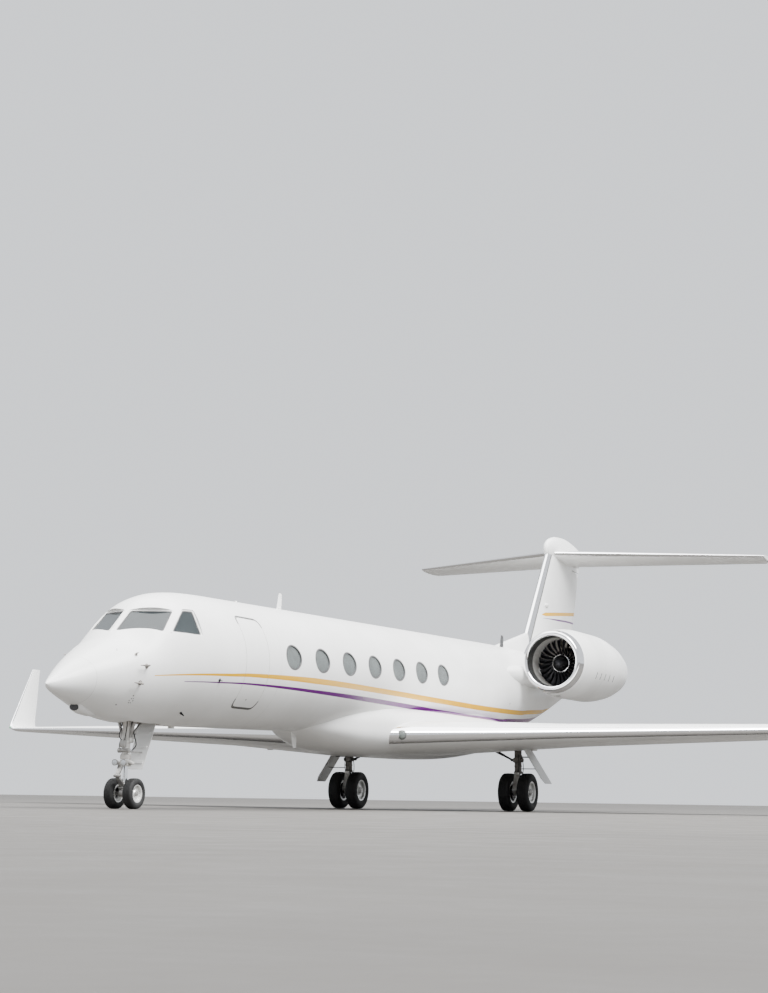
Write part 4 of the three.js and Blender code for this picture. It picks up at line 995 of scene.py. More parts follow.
def make_tailplane():
    whole = surface(TAIL_SPAN)
    marks = nose_marks(whole, len(TAIL_SPAN), TAILPLANE_EDGE)
    tailplane = body_object("tailplane_skin", whole, marks)
    ends = [hinge_end(TAILPLANE, x, ELEVATOR_HINGE) for x in (ELEVATOR_START, ELEVATOR_END)]
    room = panel_room(ends, ELEVATOR_SWING, span_block(ends, 1))
    carve(tailplane, [*room, *[flipped(shape) for shape in room]])
    piece(tailplane, [PAINT, POLISHED], ["tailplane"])
    for side in ("left", "right"):
        names = (f"elevator_{side}", f"elevator_panel_{side}")
        make_panel(f"elevator_skin_{side}", whole, span_block(ends, 0), ends, *names, side)


# Engines
LIP_TURNS = [math.pi * i / 16 for i in range(17)]
POD_LIP = [(LIP_RADIUS * (1 - math.sin(t)), LIP_MIDDLE - LIP_RADIUS * math.cos(t)) for t in LIP_TURNS]
POD_PITCH, DUCT_PITCH, CORE_PITCH = 0.1, 0.08, 0.06
STRUTS, STRUT_BOX = 6, ((0.3, 1.65, -0.012), (0.79, 1.95, 0.012))
# Outline of a fan blade's section: along the chord and through its thickness
BLADE_SECTION = ((-1, 0), (-0.6, 0.8), (0, 1), (0.6, 0.8), (1, 0), (0.6, -0.8), (0, -1), (-0.6, -0.8))
# Fan blade: stagger, half chord and half thickness, each at the root and its change to the tip
STAGGER, HALF_CHORD, HALF_THICKNESS = (22, 36), (0.062, 0.022), (0.009, -0.005)
BLADE_LAG, BLADE_BOW, BLADE_CAMBER = 0.07, 0.1, 0.012
FAN_RING = ((0.776, 0.21), (0.779, 0.219), (0.835, 0.226), (0.838, 0.215))
FAN_BOLT = ((0, 0.009), (0.7, 0.009), (1, 0.005))
FAN_BOLT_RADIUS, FAN_BOLT_AFT, FAN_BOLT_REACH = 0.219, 0.8, 0.014
PYLON_END = 4.7


def engine_place(side):
    x = ENGINE_X if side == "left" else -ENGINE_X
    return Matrix.Translation((x, y_at(ENGINE_STATION), ENGINE_HEIGHT))


def fine_profile(rows, pitch):
    """Points on a smooth curve through rows of (aft, radius), which may run either way."""
    back = rows[0][0] > rows[-1][0]
    forward = rows[::-1] if back else rows
    points = [(place, smooth(forward, place, 1)) for place in steps(forward[0][0], forward[-1][0], pitch)]
    return points[::-1] if back else points


def make_pod(side):
    outside, inside = fine_profile(POD_OUTSIDE, POD_PITCH), fine_profile(POD_INSIDE, DUCT_PITCH)
    profile = [*POD_LIP, *outside[1:], *inside[:-1]]
    # The marks choose between the pod's paint, the polished lip, the duct and, in its front, a dark ring
    # that is a painted reflection of the ground in the inner lip
    marks = []
    for i, (aft, _) in enumerate(profile):
        if i < len(POD_LIP) + len(outside) - 1:
            mark = 1 if i < len(POD_LIP) or aft < LIP_REACH else 0
        else:
            mark = 3 if aft < PAINTED_RING_END else 2
        marks += [mark] * ROUND
    pod = body_object(f"nacelle_skin_{side}", moved(turned(profile, ring=True), engine_place(side)), marks)
    piece(pod, [POD_PAINT, LIP_METAL, DUCT_METAL, PAINTED_LIP_REFLECTION], [f"nacelle_{side}"], sharp=50)


def make_core(side):
    shapes = [turned([*fine_profile(CORE[1:-2], CORE_PITCH), *CORE[-2:]], 64)]
    shapes += [moved(box(*STRUT_BOX), Matrix.Rotation(t, 4, "Y")) for t in circle(STRUTS)]
    core = body_object(f"core_skin_{side}", moved(together(*shapes), engine_place(side)))
    piece(core, [CORE_METAL], [f"engine_core_{side}"])


def make_pylon(side):
    pylon = body_object(f"pylon_skin_{side}", on_side(side, surface(PYLON)))
    outside = fine_profile(POD_OUTSIDE, POD_PITCH)
    filled = [(-GAP, 0.0), *[(aft - GAP, r + GAP) for aft, r in (*POD_LIP[8:], *outside[1:])]]
    filled += [(PYLON_END, POD_OUTSIDE[-1][1]), (PYLON_END, 0.0)]
    carve(pylon, [hull(steps(16.5, AFT_END, 0.3), -GAP), moved(turned(filled), engine_place(side))])
    piece(pylon, [PAINT, POLISHED], [f"pylon_{side}"], sharp=40)


def make_fan(side):
    """The spinner with its blades, and the polished ring with its bolts."""
    place, body = engine_place(side), f"fan_rotor_{side}"
    blades = [turned(SPINNER, 48), *[fan_blade(t) for t in circle(BLADES)]]
    fan = body_object(f"fan_blades_{side}", moved(together(*blades), place))
    piece(fan, [DARK_METAL], [f"fan_{side}"], body, sharp=40)
    ring = [turned(FAN_RING, 64, ring=True)]
    for number in range(BLADES):
        t = 2 * math.pi * (number + 0.5) / BLADES
        spot = Vector((FAN_BOLT_RADIUS * math.cos(t), FAN_BOLT_AFT, FAN_BOLT_RADIUS * math.sin(t)))
        outward = Vector((math.cos(t), -0.7, math.sin(t))) * FAN_BOLT_REACH
        ring.append(spindle(spot, spot + outward, FAN_BOLT, 10))
    piece(body_object(f"fan_ring_{side}", moved(together(*ring), place)), [LIP_METAL], (), body)


def fan_blade(angle):
    """One blade: chord, thickness, stagger and sweep change from root to tip."""
    rings = []
    for out in shares(7):
        radius = FAN_ROOT + out * (FAN_TIP - FAN_ROOT)
        lag = BLADE_LAG * out**2 / radius + BLADE_BOW * math.sin(math.pi * out)
        outward = Vector((math.cos(angle + lag), 0, math.sin(angle + lag)))
        tangent = Vector((-outward.z, 0, outward.x))
        turn, half_chord, half_thick = (a + b * out for a, b in (STAGGER, HALF_CHORD, HALF_THICKNESS))
        stagger = math.radians(turn)
        chordwise = Vector((0, math.cos(stagger), 0)) + tangent * math.sin(stagger)
        thickwise = Vector((0, -math.sin(stagger), 0)) + tangent * math.cos(stagger)
        middle = outward * radius + Vector((0, FAN_MIDDLE, 0))
        rings.append([
            middle + chordwise * half_chord * a + thickwise * (half_thick * b + BLADE_CAMBER * (1 - a * a))
            for a, b in BLADE_SECTION
        ])
    return loft(rings)


# Windows: insets, depths in the skin and thicknesses of what lies in each. The dark sheet behind the last
# window is painted shade standing in for the unlit cabin
PANE_SHEET, SHADE_SHEET, PAINTED_SHADE_SHEET = (0.024, 0.014, 0.008), (0.0, 0.05, 0.004), (0.0, 0.062, 0.004)
SHEET_RINGS = (1.0, 0.75, 0.5, 0.25, 0.02)
RIM_INSET, RIM_WIDTH, RIM_DEPTH, RIM_PROUD = 0.001, 0.03, 0.045, 0.002
BELT_START, BELT_END, BELT_PITCH = 6.04, 14.56, 0.5
BELT_UPS, BELT_NEAR, BELT_FAR = (-0.35, -0.2, 0.0, 0.2, 0.35), WALL + 0.001, WALL + 0.012
# Blinds in the lower part of each window: start and end heights above its middle
BLINDS = (
    (-0.2, -0.18), (-0.21, -0.15), (-0.21, -0.16), (-0.21, -0.145), (-0.21, -0.15), (-0.21, -0.16),
    (-0.12, 0.2),
)
BLIND_INSET, BLIND_DEPTH, BLIND_THICKNESS, LAST_BLIND_SHARE = 0.03, 0.044, 0.004, 0.4
# Cockpit panes: the plate, then its seal and frame as outer and inner inset, and low and high level
PLATE_INSET, PLATE_THICKNESS = 0.012, 0.03
PANE_SEAL, PANE_BORDER = (-0.002, 0.02, -0.034, 0.004), (-0.03, -0.002, -0.014, -0.005)


def skin_normal(x, station, z):
    """The direction out of the skin at one of its points."""
    def level(a, s, b):
        half_width, up, reach = skin_place(s, b)
        return (a / half_width) ** 2 + (up / reach) ** 2

    h = 0.002
    return Vector((
        level(x + h, station, z) - level(x - h, station, z),
        level(x, station + h, z) - level(x, station - h, z),
        level(x, station, z + h) - level(x, station, z - h),
    )).normalized()


def oval_sheet(number, inset, depth, thickness):
    """An oval pane that follows the cabin's side."""
    station, _ = window_middle(number)
    outline = window_outline(number, inset)
    y0, z0 = (sum(p[axis] for p in outline) / len(outline) for axis in (0, 1))
    layers = []
    for offset in (depth, depth + thickness):
        rings = []
        for share in SHEET_RINGS:
            spots = [(y0 + share * (y - y0), z0 + share * (z - z0)) for y, z in outline]
            rings.append([(skin_side(station, z, offset), y, z) for y, z in spots])
        layers.append(rings)
    return loft([*layers[0][::-1], *layers[1]])


def oval_rim(number):
    """The metal rim of a cabin window."""
    station, _ = window_middle(number)
    rings = []
    for extra, offset in (
        (0, RIM_DEPTH), (0, -RIM_PROUD), (RIM_WIDTH * 0.5, -RIM_PROUD * 1.4), (RIM_WIDTH, -RIM_PROUD),
        (RIM_WIDTH, RIM_DEPTH),
    ):
        outline = window_outline(number, RIM_INSET + extra)
        rings.append([(skin_side(station, z, offset), y, z) for y, z in outline])
    return loft(rings, ring=True)


def blind(number, low, high):
    """A blind behind a cabin window, between two heights from the window's middle."""
    station, middle = window_middle(number)
    rings = []
    for up in shares(5, low, high):
        wide = (WINDOW_WIDTH / 2 - BLIND_INSET) * math.sqrt(max(1 - (2 * up / WINDOW_HEIGHT) ** 2, 0.01))
        wide = wide if number < WINDOW_COUNT - 1 else wide * LAST_BLIND_SHARE
        z = middle + up
        near = skin_side(station, z, BLIND_DEPTH)
        far = near - BLIND_THICKNESS
        start, end = y_at(station) - wide, y_at(station) + wide
        rings.append([(near, start, z), (near, end, z), (far, end, z), (far, start, z)])
    return loft(rings)


def belt_ring(station):
    """The lining behind the windows, across one station."""
    ring = []
    for inset, ups in ((BELT_NEAR, BELT_UPS), (BELT_FAR, BELT_UPS[::-1])):
        for up in ups:
            z = axis_at(station) + WINDOW_ABOVE_AXIS + up
            ring.append((skin_side(station, z, inset), y_at(station), z))
    return ring


def make_windows(side):
    numbers = range(WINDOW_COUNT)
    for name, shapes, material, slot in (
        ("window_panes", [oval_sheet(i, *PANE_SHEET) for i in numbers], PANE, None),
        ("window_rims", [oval_rim(i) for i in numbers], TRIM, None),
        ("window_shades", [oval_sheet(i, *SHADE_SHEET) for i in numbers[:-1]], SHADE, None),
        # A dark sheet behind the last window: painted shade of the cabin seen through it
        ("last_window_painted_shade", [oval_sheet(WINDOW_COUNT - 1, *PAINTED_SHADE_SHEET)], PANEL_GREY, "window_shade"),
        ("window_blinds", [blind(i, *BLINDS[i]) for i in numbers], TRIM, "window_shade"),
    ):
        add(f"{name}_{side}", [on_side(side, together(*shapes))], material, sharp=32)
    belt = loft([belt_ring(s) for s in steps(BELT_START, BELT_END, BELT_PITCH)])
    add(f"window_panel_{side}", [on_side(side, belt)], LINING_PAINT, [f"cabin_windows_{side}"], sharp=32)
    face = -FACET_DROP - PANE_RECESS
    for name, corners in (("windshield", WINDSHIELD), ("side_window", SIDE_WINDOW)):
        plate = pane_block(corners, PLATE_INSET, face - PLATE_THICKNESS, face)
        outer, inner, low, high = PANE_SEAL
        seal = pane_ring(corners, outer, inner, face + low, face + high)
        border = pane_ring(corners, *PANE_BORDER)
        add(f"{name}_glass_{side}", [on_side(side, plate)], GLASS, [f"{name}_{side}"], sharp=32)
        add(f"{name}_seal_{side}", [on_side(side, seal)], SEAL, sharp=32)
        add(f"{name}_frame_{side}", [on_side(side, border)], PAINT, sharp=32)


# Small forms
def rounded_box(low, high, radius):
    """A box with round upright edges and softened ends."""
    (x1, y1, z1), (x2, y2, z2) = low, high
    rings = []
    for z, inset in (
        (z1, radius), (z1 + 0.3 * radius, 0.3 * radius), (z1 + radius, 0.0),
        (z2 - radius, 0.0), (z2 - 0.3 * radius, 0.3 * radius), (z2, radius),
    ):
        a, b, c, d = x1 + inset, x2 - inset, y1 + inset, y2 - inset
        corners = [Vector(corner) for corner in ((a, c), (b, c), (b, d), (a, d))]
        rings.append([(p.x, p.y, z) for p in rounded_outline(corners, radius * 0.9, 5)])
    return loft(rings)


def tube(start, end, inner, outer, sides=40):
    """A round tube between two points."""
    length = (Vector(end) - Vector(start)).length
    edge = 0.08 * (outer - inner)
    low = outer - edge
    profile = ((0, inner), (0, low), (edge, outer), (length - edge, outer), (length, low), (length, inner))
    return moved(turned(profile, sides, ring=True), along_matrix(start, end))


def bolt_circle(along, radius, count, size, height):
    """Bolt heads in a circle round the Y axis, that stand out from a place along it."""
    place = Matrix.Translation((0, along, 0))
    bolts = []
    for t in circle(count):
        x, z = radius * math.cos(t), radius * math.sin(t)
        head = spindle((x, 0, z), (x, height, z), ((0, size), (0.75, size), (1, 0.75 * size)), 6)
        bolts.append(moved(head, place))
    return together(*bolts)


def web(points, thickness, holes):
    """A flat lever through points, as thick as given, with round holes of (spot, radius)."""
    points = [Vector(p) for p in points]
    normal = (points[1] - points[0]).cross(points[2] - points[1]).normalized()
    plate = loft([[p + normal * side * thickness / 2 for p in points] for side in (-1, 1)])
    if not holes:
        return plate
    reach = normal * thickness
    cuts = [rod(Vector(spot) - reach, Vector(spot) + reach, radius, sides=28) for spot, radius in holes]
    return shape_of(carve(body_object("web", plate), cuts))


# Forms from tables, whose points pass through a place
def rods(at, rows):
    return [rod(at(*start), at(*end), *radii) for start, end, *radii in rows]


def spindles(at, rows):
    return [spindle(at(*start), at(*end), profile) for start, end, profile in rows]


def pipes(at, rows):
    return [pipe([at(*p) for p in path], radius) for *path, radius in rows]


def blocks(at, rows):
    return [rounded_box(at(*low), at(*high), radius) for low, high, radius in rows]


def webs(at, rows):
    return [
        web([at(*c) for c in corners], thickness, [(at(*spot), radius) for spot, radius in holes])
        for *corners, thickness, holes in rows
    ]


# Wheels, made about the Y axis with their outer side towards +Y
NOSE_GEAR = {"station": 2.5, "axle": 0.264, "tyre": 0.264, "width": 0.184, "rim": 0.146, "offset": 0.19}
MAIN_GEAR = {"station": 16.21, "axle": 0.44, "tyre": 0.44, "width": 0.28, "rim": 0.236, "offset": 0.232}
MAIN_GEAR_X = 2.185
TREAD_GROOVES = (-0.44, -0.15, 0.15, 0.44)
# Profiles: shares of the half width, then of the tyre's side or the rim's radius, at times a rise in metres
TYRE_FLANK = (
    (0.72, 0.0), (0.86, 0.08), (0.97, 0.28), (1.0, 0.46), (0.97, 0.64), (0.89, 0.81), (0.77, 0.93),
    (0.64, 0.98),
)
GROOVE = ((-1, 0), (-0.8, 1), (0.8, 1), (1, 0))
GROOVE_WIDTH, GROOVE_DEPTH, CROWN_DROP, BEAD_ABOVE_RIM = 0.028, 0.045, 0.02, 0.004
RIM_LIP, RIM_RISE = 0.05, 0.002
BARREL = (
    (-0.78, 0.88), (-0.8, 1 + RIM_LIP), (-0.73, 1 + 1.2 * RIM_LIP), (-0.68, 1, RIM_RISE),
    (0.68, 1, RIM_RISE), (0.73, 1 + 1.2 * RIM_LIP), (0.8, 1 + RIM_LIP), (0.8, 0.97), (0.74, 0.9),
    (0.5, 0.87), (-0.4, 0.85),
)
FACE = (
    (0.3, 0.9), (0.42, 0.9), (0.44, 0.8), (0.36, 0.72), (0.34, 0.48), (0.5, 0.38), (0.52, 0.0), (0.2, 0.0),
    (0.2, 0.45), (0.22, 0.78),
)
HUB_CAP = (
    (0.4, 0.0), (0.4, 0.34), (0.62, 0.33), (0.66, 0.28), (0.68, 0.17), (0.76, 0.15), (0.78, 0.1),
    (0.78, 0.0),
)
# Dark disc just inside the rim's face: painted shade, so the holes in the face look dark
WHEEL_SHADE_DISC = ((0.02, 0.42), (0.1, 0.42), (0.1, 0.84), (0.02, 0.84))
# Bolts: place along the half width, then shares of the rim for the circle, count, head size and height
BOLTS = ((0.64, 0.24, 8, 0.03, 0.012), (0.33, 0.8, 18, 0.028, 0.02))
AXLE_SHARE, AXLE_REACH = 0.19, 0.1


def tyre_shape(gear):
    half, top, bead = gear["width"] / 2, gear["tyre"] - 0.0005, gear["rim"] + BEAD_ABOVE_RIM
    side = top - bead
    profile = [(-a * half, bead + r * side) for a, r in TYRE_FLANK]
    for groove in TREAD_GROOVES:
        level = top - CROWN_DROP * side * (groove / TYRE_FLANK[-1][0]) ** 2
        for across, down in GROOVE:
            at = groove * half + across * GROOVE_WIDTH * half
            profile.append((at, level - down * GROOVE_DEPTH * side))
    profile += [(a * half, bead + r * side) for a, r in TYRE_FLANK[::-1]]
    return turned(profile, 72, ring=True)


def wheel_ring(gear, profile, sides, ring=True, least=0.0):
    """A turned form from shares of the half width and of the rim."""
    half, rim = gear["width"] / 2, gear["rim"]
    return turned([(a * half, max(r * rim + sum(rise), least)) for a, r, *rise in profile], sides, ring)


def rim_shape(gear, hole_ring, hole_size, hole_count):
    """The rim with its flanges, and a dished face with round holes."""
    half, rim = gear["width"] / 2, gear["rim"]
    barrel = wheel_ring(gear, BARREL, 72)
    holes = []
    for t in circle(hole_count):
        spot = Vector((hole_ring * rim * math.cos(t), 0, hole_ring * rim * math.sin(t)))
        holes.append(rod(spot, spot + Vector((0, half, 0)), hole_size * rim, sides=20))
    disc = body_object("disc", wheel_ring(gear, FACE, 72, least=0.0005))
    return together(barrel, shape_of(carve(disc, [together(*holes)])))


def hub_shape(gear):
    """The hub cap with its bolts."""
    half, rim = gear["width"] / 2, gear["rim"]
    bolts = [
        bolt_circle(along * half, ring * rim, count, size * rim, height)
        for along, ring, count, size, height in BOLTS
    ]
    return together(wheel_ring(gear, HUB_CAP, 36, ring=False), *bolts)


def make_wheels(name, gear, x, body, tyre_nodes, hub_node, holes):
    y, z = y_at(gear["station"]), gear["axle"]
    tyre, rim, hub = tyre_shape(gear), rim_shape(gear, *holes), hub_shape(gear)
    back = wheel_ring(gear, WHEEL_SHADE_DISC, 48)
    rims, hubs, shade_discs = [], [], []
    for side, node_name in zip((1, -1), tyre_nodes):
        middle = (x + side * gear["offset"], y, z)
        place = along_matrix(middle, (middle[0] + side, y, z))
        add(f"{name}_tyre_{side + 1}", [moved(tyre, place)], TYRE, [node_name], body, sharp=40)
        rims.append(moved(rim, place))
        hubs.append(moved(hub, place))
        shade_discs.append(moved(back, place))
    add(f"{name}_rims", rims, RIM_PAINT, [hub_node], body, sharp=30)
    # Dark discs behind the rims' faces: painted shade seen through the holes
    add(f"{name}_wheel_shade_discs", shade_discs, DARK_METAL, (), body)
    reach = gear["offset"] + AXLE_REACH * gear["width"]
    axle = rod((x - reach, y, z), (x + reach, y, z), gear["rim"] * AXLE_SHARE, sides=32)
    add(f"{name}_hub_caps", [*hubs, axle], STEEL, (), body)


def gear_place(gear, x):
    """Turns a place given as outboard, aft and height into a point."""
    sign = -1 if x < 0 else 1
    return lambda out, aft, height: Vector((x + sign * out, y_at(gear["station"]) + aft, height))


# Nose gear: bars run between two points of (outboard, aft, height). Profiles are share and radius
NOSE_COLUMN = (
    ((0, 0, 0.85), (0, 0, 1.75), (
        (0, 0.09), (0.02, 0.097), (0.08, 0.097), (0.1, 0.08), (0.12, 0.073), (0.3, 0.073), (0.31, 0.082),
        (0.35, 0.082), (0.36, 0.073), (0.78, 0.073), (0.8, 0.085), (0.88, 0.085), (0.9, 0.075), (1, 0.075),
    )),
    ((-0.235, 0, 1.64), (0.235, 0, 1.64), (
        (0, 0.05), (0.08, 0.05), (0.1, 0.04), (0.38, 0.04), (0.4, 0.06), (0.6, 0.06), (0.62, 0.04),
        (0.9, 0.04), (0.92, 0.05), (1, 0.05),
    )),
)
NOSE_LUG = (((-0.1, -0.03, 1.13), (0.1, 0.1, 1.23), 0.02),)
NOSE_BRACES = (
    ((-0.19, 0, 1.6), (-0.06, 0, 1.18), 0.03, 0.026),
    ((-0.035, 0.04, 1.2), (-0.12, 0.55, 1.7), 0.026, 0.03),
    ((-0.02, 0.07, 0.98), (-0.05, 0.47, 0.98), 0.011),
    ((0.19, 0, 1.6), (0.06, 0, 1.18), 0.03, 0.026),
    ((0.035, 0.04, 1.2), (0.12, 0.55, 1.7), 0.026, 0.03),
    ((0.02, 0.07, 0.98), (0.05, 0.47, 0.98), 0.011),
    ((-0.16, 0.56, 1.7), (0.16, 0.56, 1.7), 0.032),
)
STEERING_BARREL = (((-0.12, -0.06, 1.0), (0.12, -0.06, 1.0), (
    (0, 0.03), (0.03, 0.042), (0.2, 0.042), (0.22, 0.034), (0.5, 0.034), (0.78, 0.034), (0.8, 0.042),
    (0.97, 0.042), (1, 0.03),
)),)
STEERING_VALVE = (((-0.05, -0.14, 1.05), (0.05, -0.06, 1.17), 0.012),)
NOSE_HOSES = (
    ((0.03, -0.1, 1.17), (0.06, -0.12, 1.28), (0.05, -0.07, 1.42), (0.04, -0.05, 1.66), 0.009),
    ((-0.03, -0.1, 1.17), (-0.07, -0.12, 1.26), (-0.06, -0.07, 1.4), (-0.04, -0.05, 1.66), 0.009),
    ((0.09, 0.04, 1.0), (0.14, 0.1, 1.1), (0.1, 0.08, 1.3), (0.06, 0.05, 1.62), 0.011),
    ((-0.1, -0.06, 1.04), (-0.13, 0.0, 1.14), (-0.09, 0.05, 1.3), (-0.05, 0.05, 1.62), 0.008),
)
COLLAR = (((0, 0, 0.728), (0, 0, 0.842), (
    (0, 0.08), (0.08, 0.1), (0.3, 0.1), (0.36, 0.092), (0.64, 0.092), (0.7, 0.1), (0.92, 0.1), (1, 0.085),
)),)
COLLAR_HORNS = (
    ((-0.16, -0.05, 0.755), (0.16, 0.045, 0.815), 0.018),
    ((-0.055, -0.17, 0.745), (0.055, -0.07, 0.815), 0.016),
)
NOSE_BOSS = (((0, 0, 0.2), (0, 0, 0.42), (
    (0, 0.045), (0.06, 0.066), (0.6, 0.066), (0.75, 0.058), (0.97, 0.056), (1, 0.048),
)),)
NOSE_PISTON = (((0, 0, 0.4), (0, 0, 0.74), ((0, 0.046), (1, 0.046))),)
NOSE_LINKS = (
    ((-0.055, -0.12, 0.78), (0.055, -0.12, 0.78), (0.034, -0.25, 0.57), (-0.034, -0.25, 0.57),
     0.034, [((0, -0.175, 0.69), 0.024)]),
    ((-0.034, -0.25, 0.56), (0.034, -0.25, 0.56), (0.055, -0.05, 0.37), (-0.055, -0.05, 0.37),
     0.034, [((0, -0.14, 0.455), 0.024)]),
)
NOSE_LINK_PIN = (((-0.07, -0.25, 0.565), (0.07, -0.25, 0.565), (
    (0, 0.018), (0.06, 0.026), (0.24, 0.026), (0.26, 0.032), (0.74, 0.032), (0.76, 0.026), (0.94, 0.026),
    (1, 0.018),
)),)
NOSE_LINK_ROD = (((-0.075, -0.06, 0.36), (0.075, -0.06, 0.36), 0.024),)
LAMP_OUT, LAMP_HEIGHT = 0.088, 0.79
LAMP_BODY = ((0, 0.02), (0.2, 0.038), (0.6, 0.052), (0.9, 0.056), (1, 0.056), (1, 0.05), (0.97, 0.046))
LAMP_FRONT = ((0, 0.048), (0.6, 0.046), (1, 0.03))
TOW_LUG = (((-0.04, -0.12, 0.234), (0.04, -0.04, 0.314), 0.01),)
# The axle's bore as radius and reach, with its housing's half length and radius
NOSE_BORE = (0.036, 0.2, 0.085, 0.06)
# Holes in the rim, as circle, size and count
NOSE_RIM_HOLES = (0.6, 0.1, 8)
# Nose door: its ends, its outline across and along it, and the depths of its plate and ribs
NOSE_DOOR_ENDS = ((0, 0.3, 0.68), (0, 0.678, 1.5))
NOSE_DOOR = ((-0.155, 0), (0.155, 0), (0.175, 0.9), (-0.175, 0.9))
NOSE_DOOR_DEPTHS, NOSE_RIB_DEPTHS, NOSE_RIB_HALF = (0.003, 0.019), (-0.018, 0.005), 0.13
NOSE_RIBS = ((0.12, 0.16), (0.42, 0.46), (0.7, 0.74))


def axle_boss(at, rows, height, bore, reach, half_length, radius):
    """A boss with the hole of its axle, and the tube round the axle."""
    hole = rod(at(-reach, 0, height), at(reach, 0, height), bore)
    boss = shape_of(carve(body_object("boss", *spindles(at, rows)), [hole]))
    return [boss, tube(at(-half_length, 0, height), at(half_length, 0, height), bore, radius)]


def make_nose_gear():
    at = gear_place(NOSE_GEAR, 0.0)
    height = NOSE_GEAR["axle"]
    add("nose_leg_column", [*spindles(at, NOSE_COLUMN), *blocks(at, NOSE_LUG)], GEAR_PAINT, ["nose_leg"])
    add("nose_leg_braces", rods(at, NOSE_BRACES), STEEL)
    add("nose_steering_unit", [*spindles(at, STEERING_BARREL), *blocks(at, STEERING_VALVE)], STEEL)
    add("nose_leg_hoses", pipes(at, NOSE_HOSES), HOSE)

    strut = "nose_strut"
    boss = axle_boss(at, NOSE_BOSS, height, *NOSE_BORE)
    fork = [*spindles(at, COLLAR), *blocks(at, COLLAR_HORNS), *boss]
    add("nose_fork_body", fork, GEAR_PAINT, ["nose_fork"], strut)
    add("nose_piston", spindles(at, NOSE_PISTON), CHROME, (), strut)
    links = [*webs(at, NOSE_LINKS), *spindles(at, NOSE_LINK_PIN), *rods(at, NOSE_LINK_ROD)]
    add("nose_torque_links", links, STEEL, (), strut)
    lamps, lenses = [], []
    for out in (LAMP_OUT, -LAMP_OUT):
        foot, head, front, end = (at(out, aft, LAMP_HEIGHT) for aft in (-0.115, -0.215, -0.205, -0.217))
        lamps.append(spindle(foot, head, LAMP_BODY))
        lenses.append(spindle(front, end, LAMP_FRONT))
    add("taxi_lamps", lamps, STEEL, (), strut)
    add("taxi_lamp_glass", lenses, LAMP, (), strut)
    add("tow_lug", blocks(at, TOW_LUG), STEEL, (), strut)
    tyres = ("nose_tyre_left", "nose_tyre_right")
    make_wheels("nose_wheel", NOSE_GEAR, 0.0, "nose_wheels", tyres, "nose_hubs", NOSE_RIM_HOLES)
    make_nose_door(at)


def plate_between(points, direction, depths):
    return loft([[p + direction * depth for p in points] for depth in depths])


def make_nose_door(at):
    foot, head = (at(*end) for end in NOSE_DOOR_ENDS)
    along = (head - foot).normalized()
    back = Vector((0, 1, 0))
    corners = rounded_outline([Vector(c) for c in NOSE_DOOR], 0.035, 5)
    outline = [foot + Vector((p.x, 0, 0)) + along * p.y for p in corners]
    shapes = [plate_between(outline, back, NOSE_DOOR_DEPTHS)]
    half = NOSE_RIB_HALF
    for low, high in NOSE_RIBS:
        corners = ((-half, low), (half, low), (half, high), (-half, high))
        spots = [foot + Vector((a, 0, 0)) + along * b for a, b in corners]
        shapes.append(plate_between(spots, back, NOSE_RIB_DEPTHS))
    add("nose_door_plate", shapes, PAINT, ["nose_gear_door"])


# Main gear, as the nose gear
MAIN_COLUMN = (
    ((0, 0, 0.86), (0, -0.02, 1.6), (
        (0, 0.09), (0.01, 0.1), (0.06, 0.104), (0.08, 0.09), (0.1, 0.084), (0.22, 0.084), (0.23, 0.092),
        (0.26, 0.092), (0.27, 0.084), (0.36, 0.084), (0.38, 0.098), (0.5, 0.098), (0.52, 0.086), (1, 0.09),
    )),
    ((-0.13, 0, 1.18), (0.13, 0, 1.18), ((0, 0.04), (0.05, 0.05), (0.95, 0.05), (1, 0.04))),
    ((-0.03, -0.13, 1.18), (-0.03, -0.07, 1.18), ((0, 0.05), (0.2, 0.062), (1, 0.075))),
)
MAIN_PISTON = (((0, 0, 0.52), (0, 0, 0.87), ((0, 0.06), (1, 0.06))),)
MAIN_BOSS = (((0, 0, 0.36), (0, 0, 0.56), (
    (0, 0.06), (0.08, 0.078), (0.7, 0.078), (0.9, 0.07), (1, 0.064),
)),)
MAIN_LINKS = (
    ((-0.05, -0.07, 0.88), (0.05, -0.07, 0.88), (0.082, -0.165, 0.5), (-0.082, -0.165, 0.5),
     0.045, [((0, -0.138, 0.6), 0.042)]),
    ((-0.07, -0.165, 0.49), (0.07, -0.165, 0.49), (0.055, -0.05, 0.4), (-0.055, -0.05, 0.4), 0.05, []),
)
MAIN_LINK_PIN = (((-0.086, -0.165, 0.495), (0.086, -0.165, 0.495), (
    (0, 0.034), (0.04, 0.042), (0.3, 0.042), (0.32, 0.036), (0.68, 0.036), (0.7, 0.042), (0.96, 0.042),
    (1, 0.034),
)),)
MAIN_LUG = (((-0.055, -0.12, 0.84), (0.055, -0.05, 0.9), 0.012),)
BRACE_PROFILE = (
    (0, 0.026), (0.06, 0.026), (0.08, 0.018), (0.46, 0.018), (0.48, 0.024), (0.9, 0.024), (0.92, 0.02),
    (1, 0.02),
)
MAIN_BRACES = (
    ((-0.13, -0.03, 1.175), (-0.625, -0.06, 1.42), BRACE_PROFILE),
    ((-0.13, 0.045, 1.175), (-0.625, 0.08, 1.42), BRACE_PROFILE),
)
MAIN_BRACE_PINS = (
    ((-0.135, -0.08, 1.18), (-0.135, 0.1, 1.18), 0.03),
    ((-0.625, -0.11, 1.42), (-0.625, 0.13, 1.42), 0.028),
)
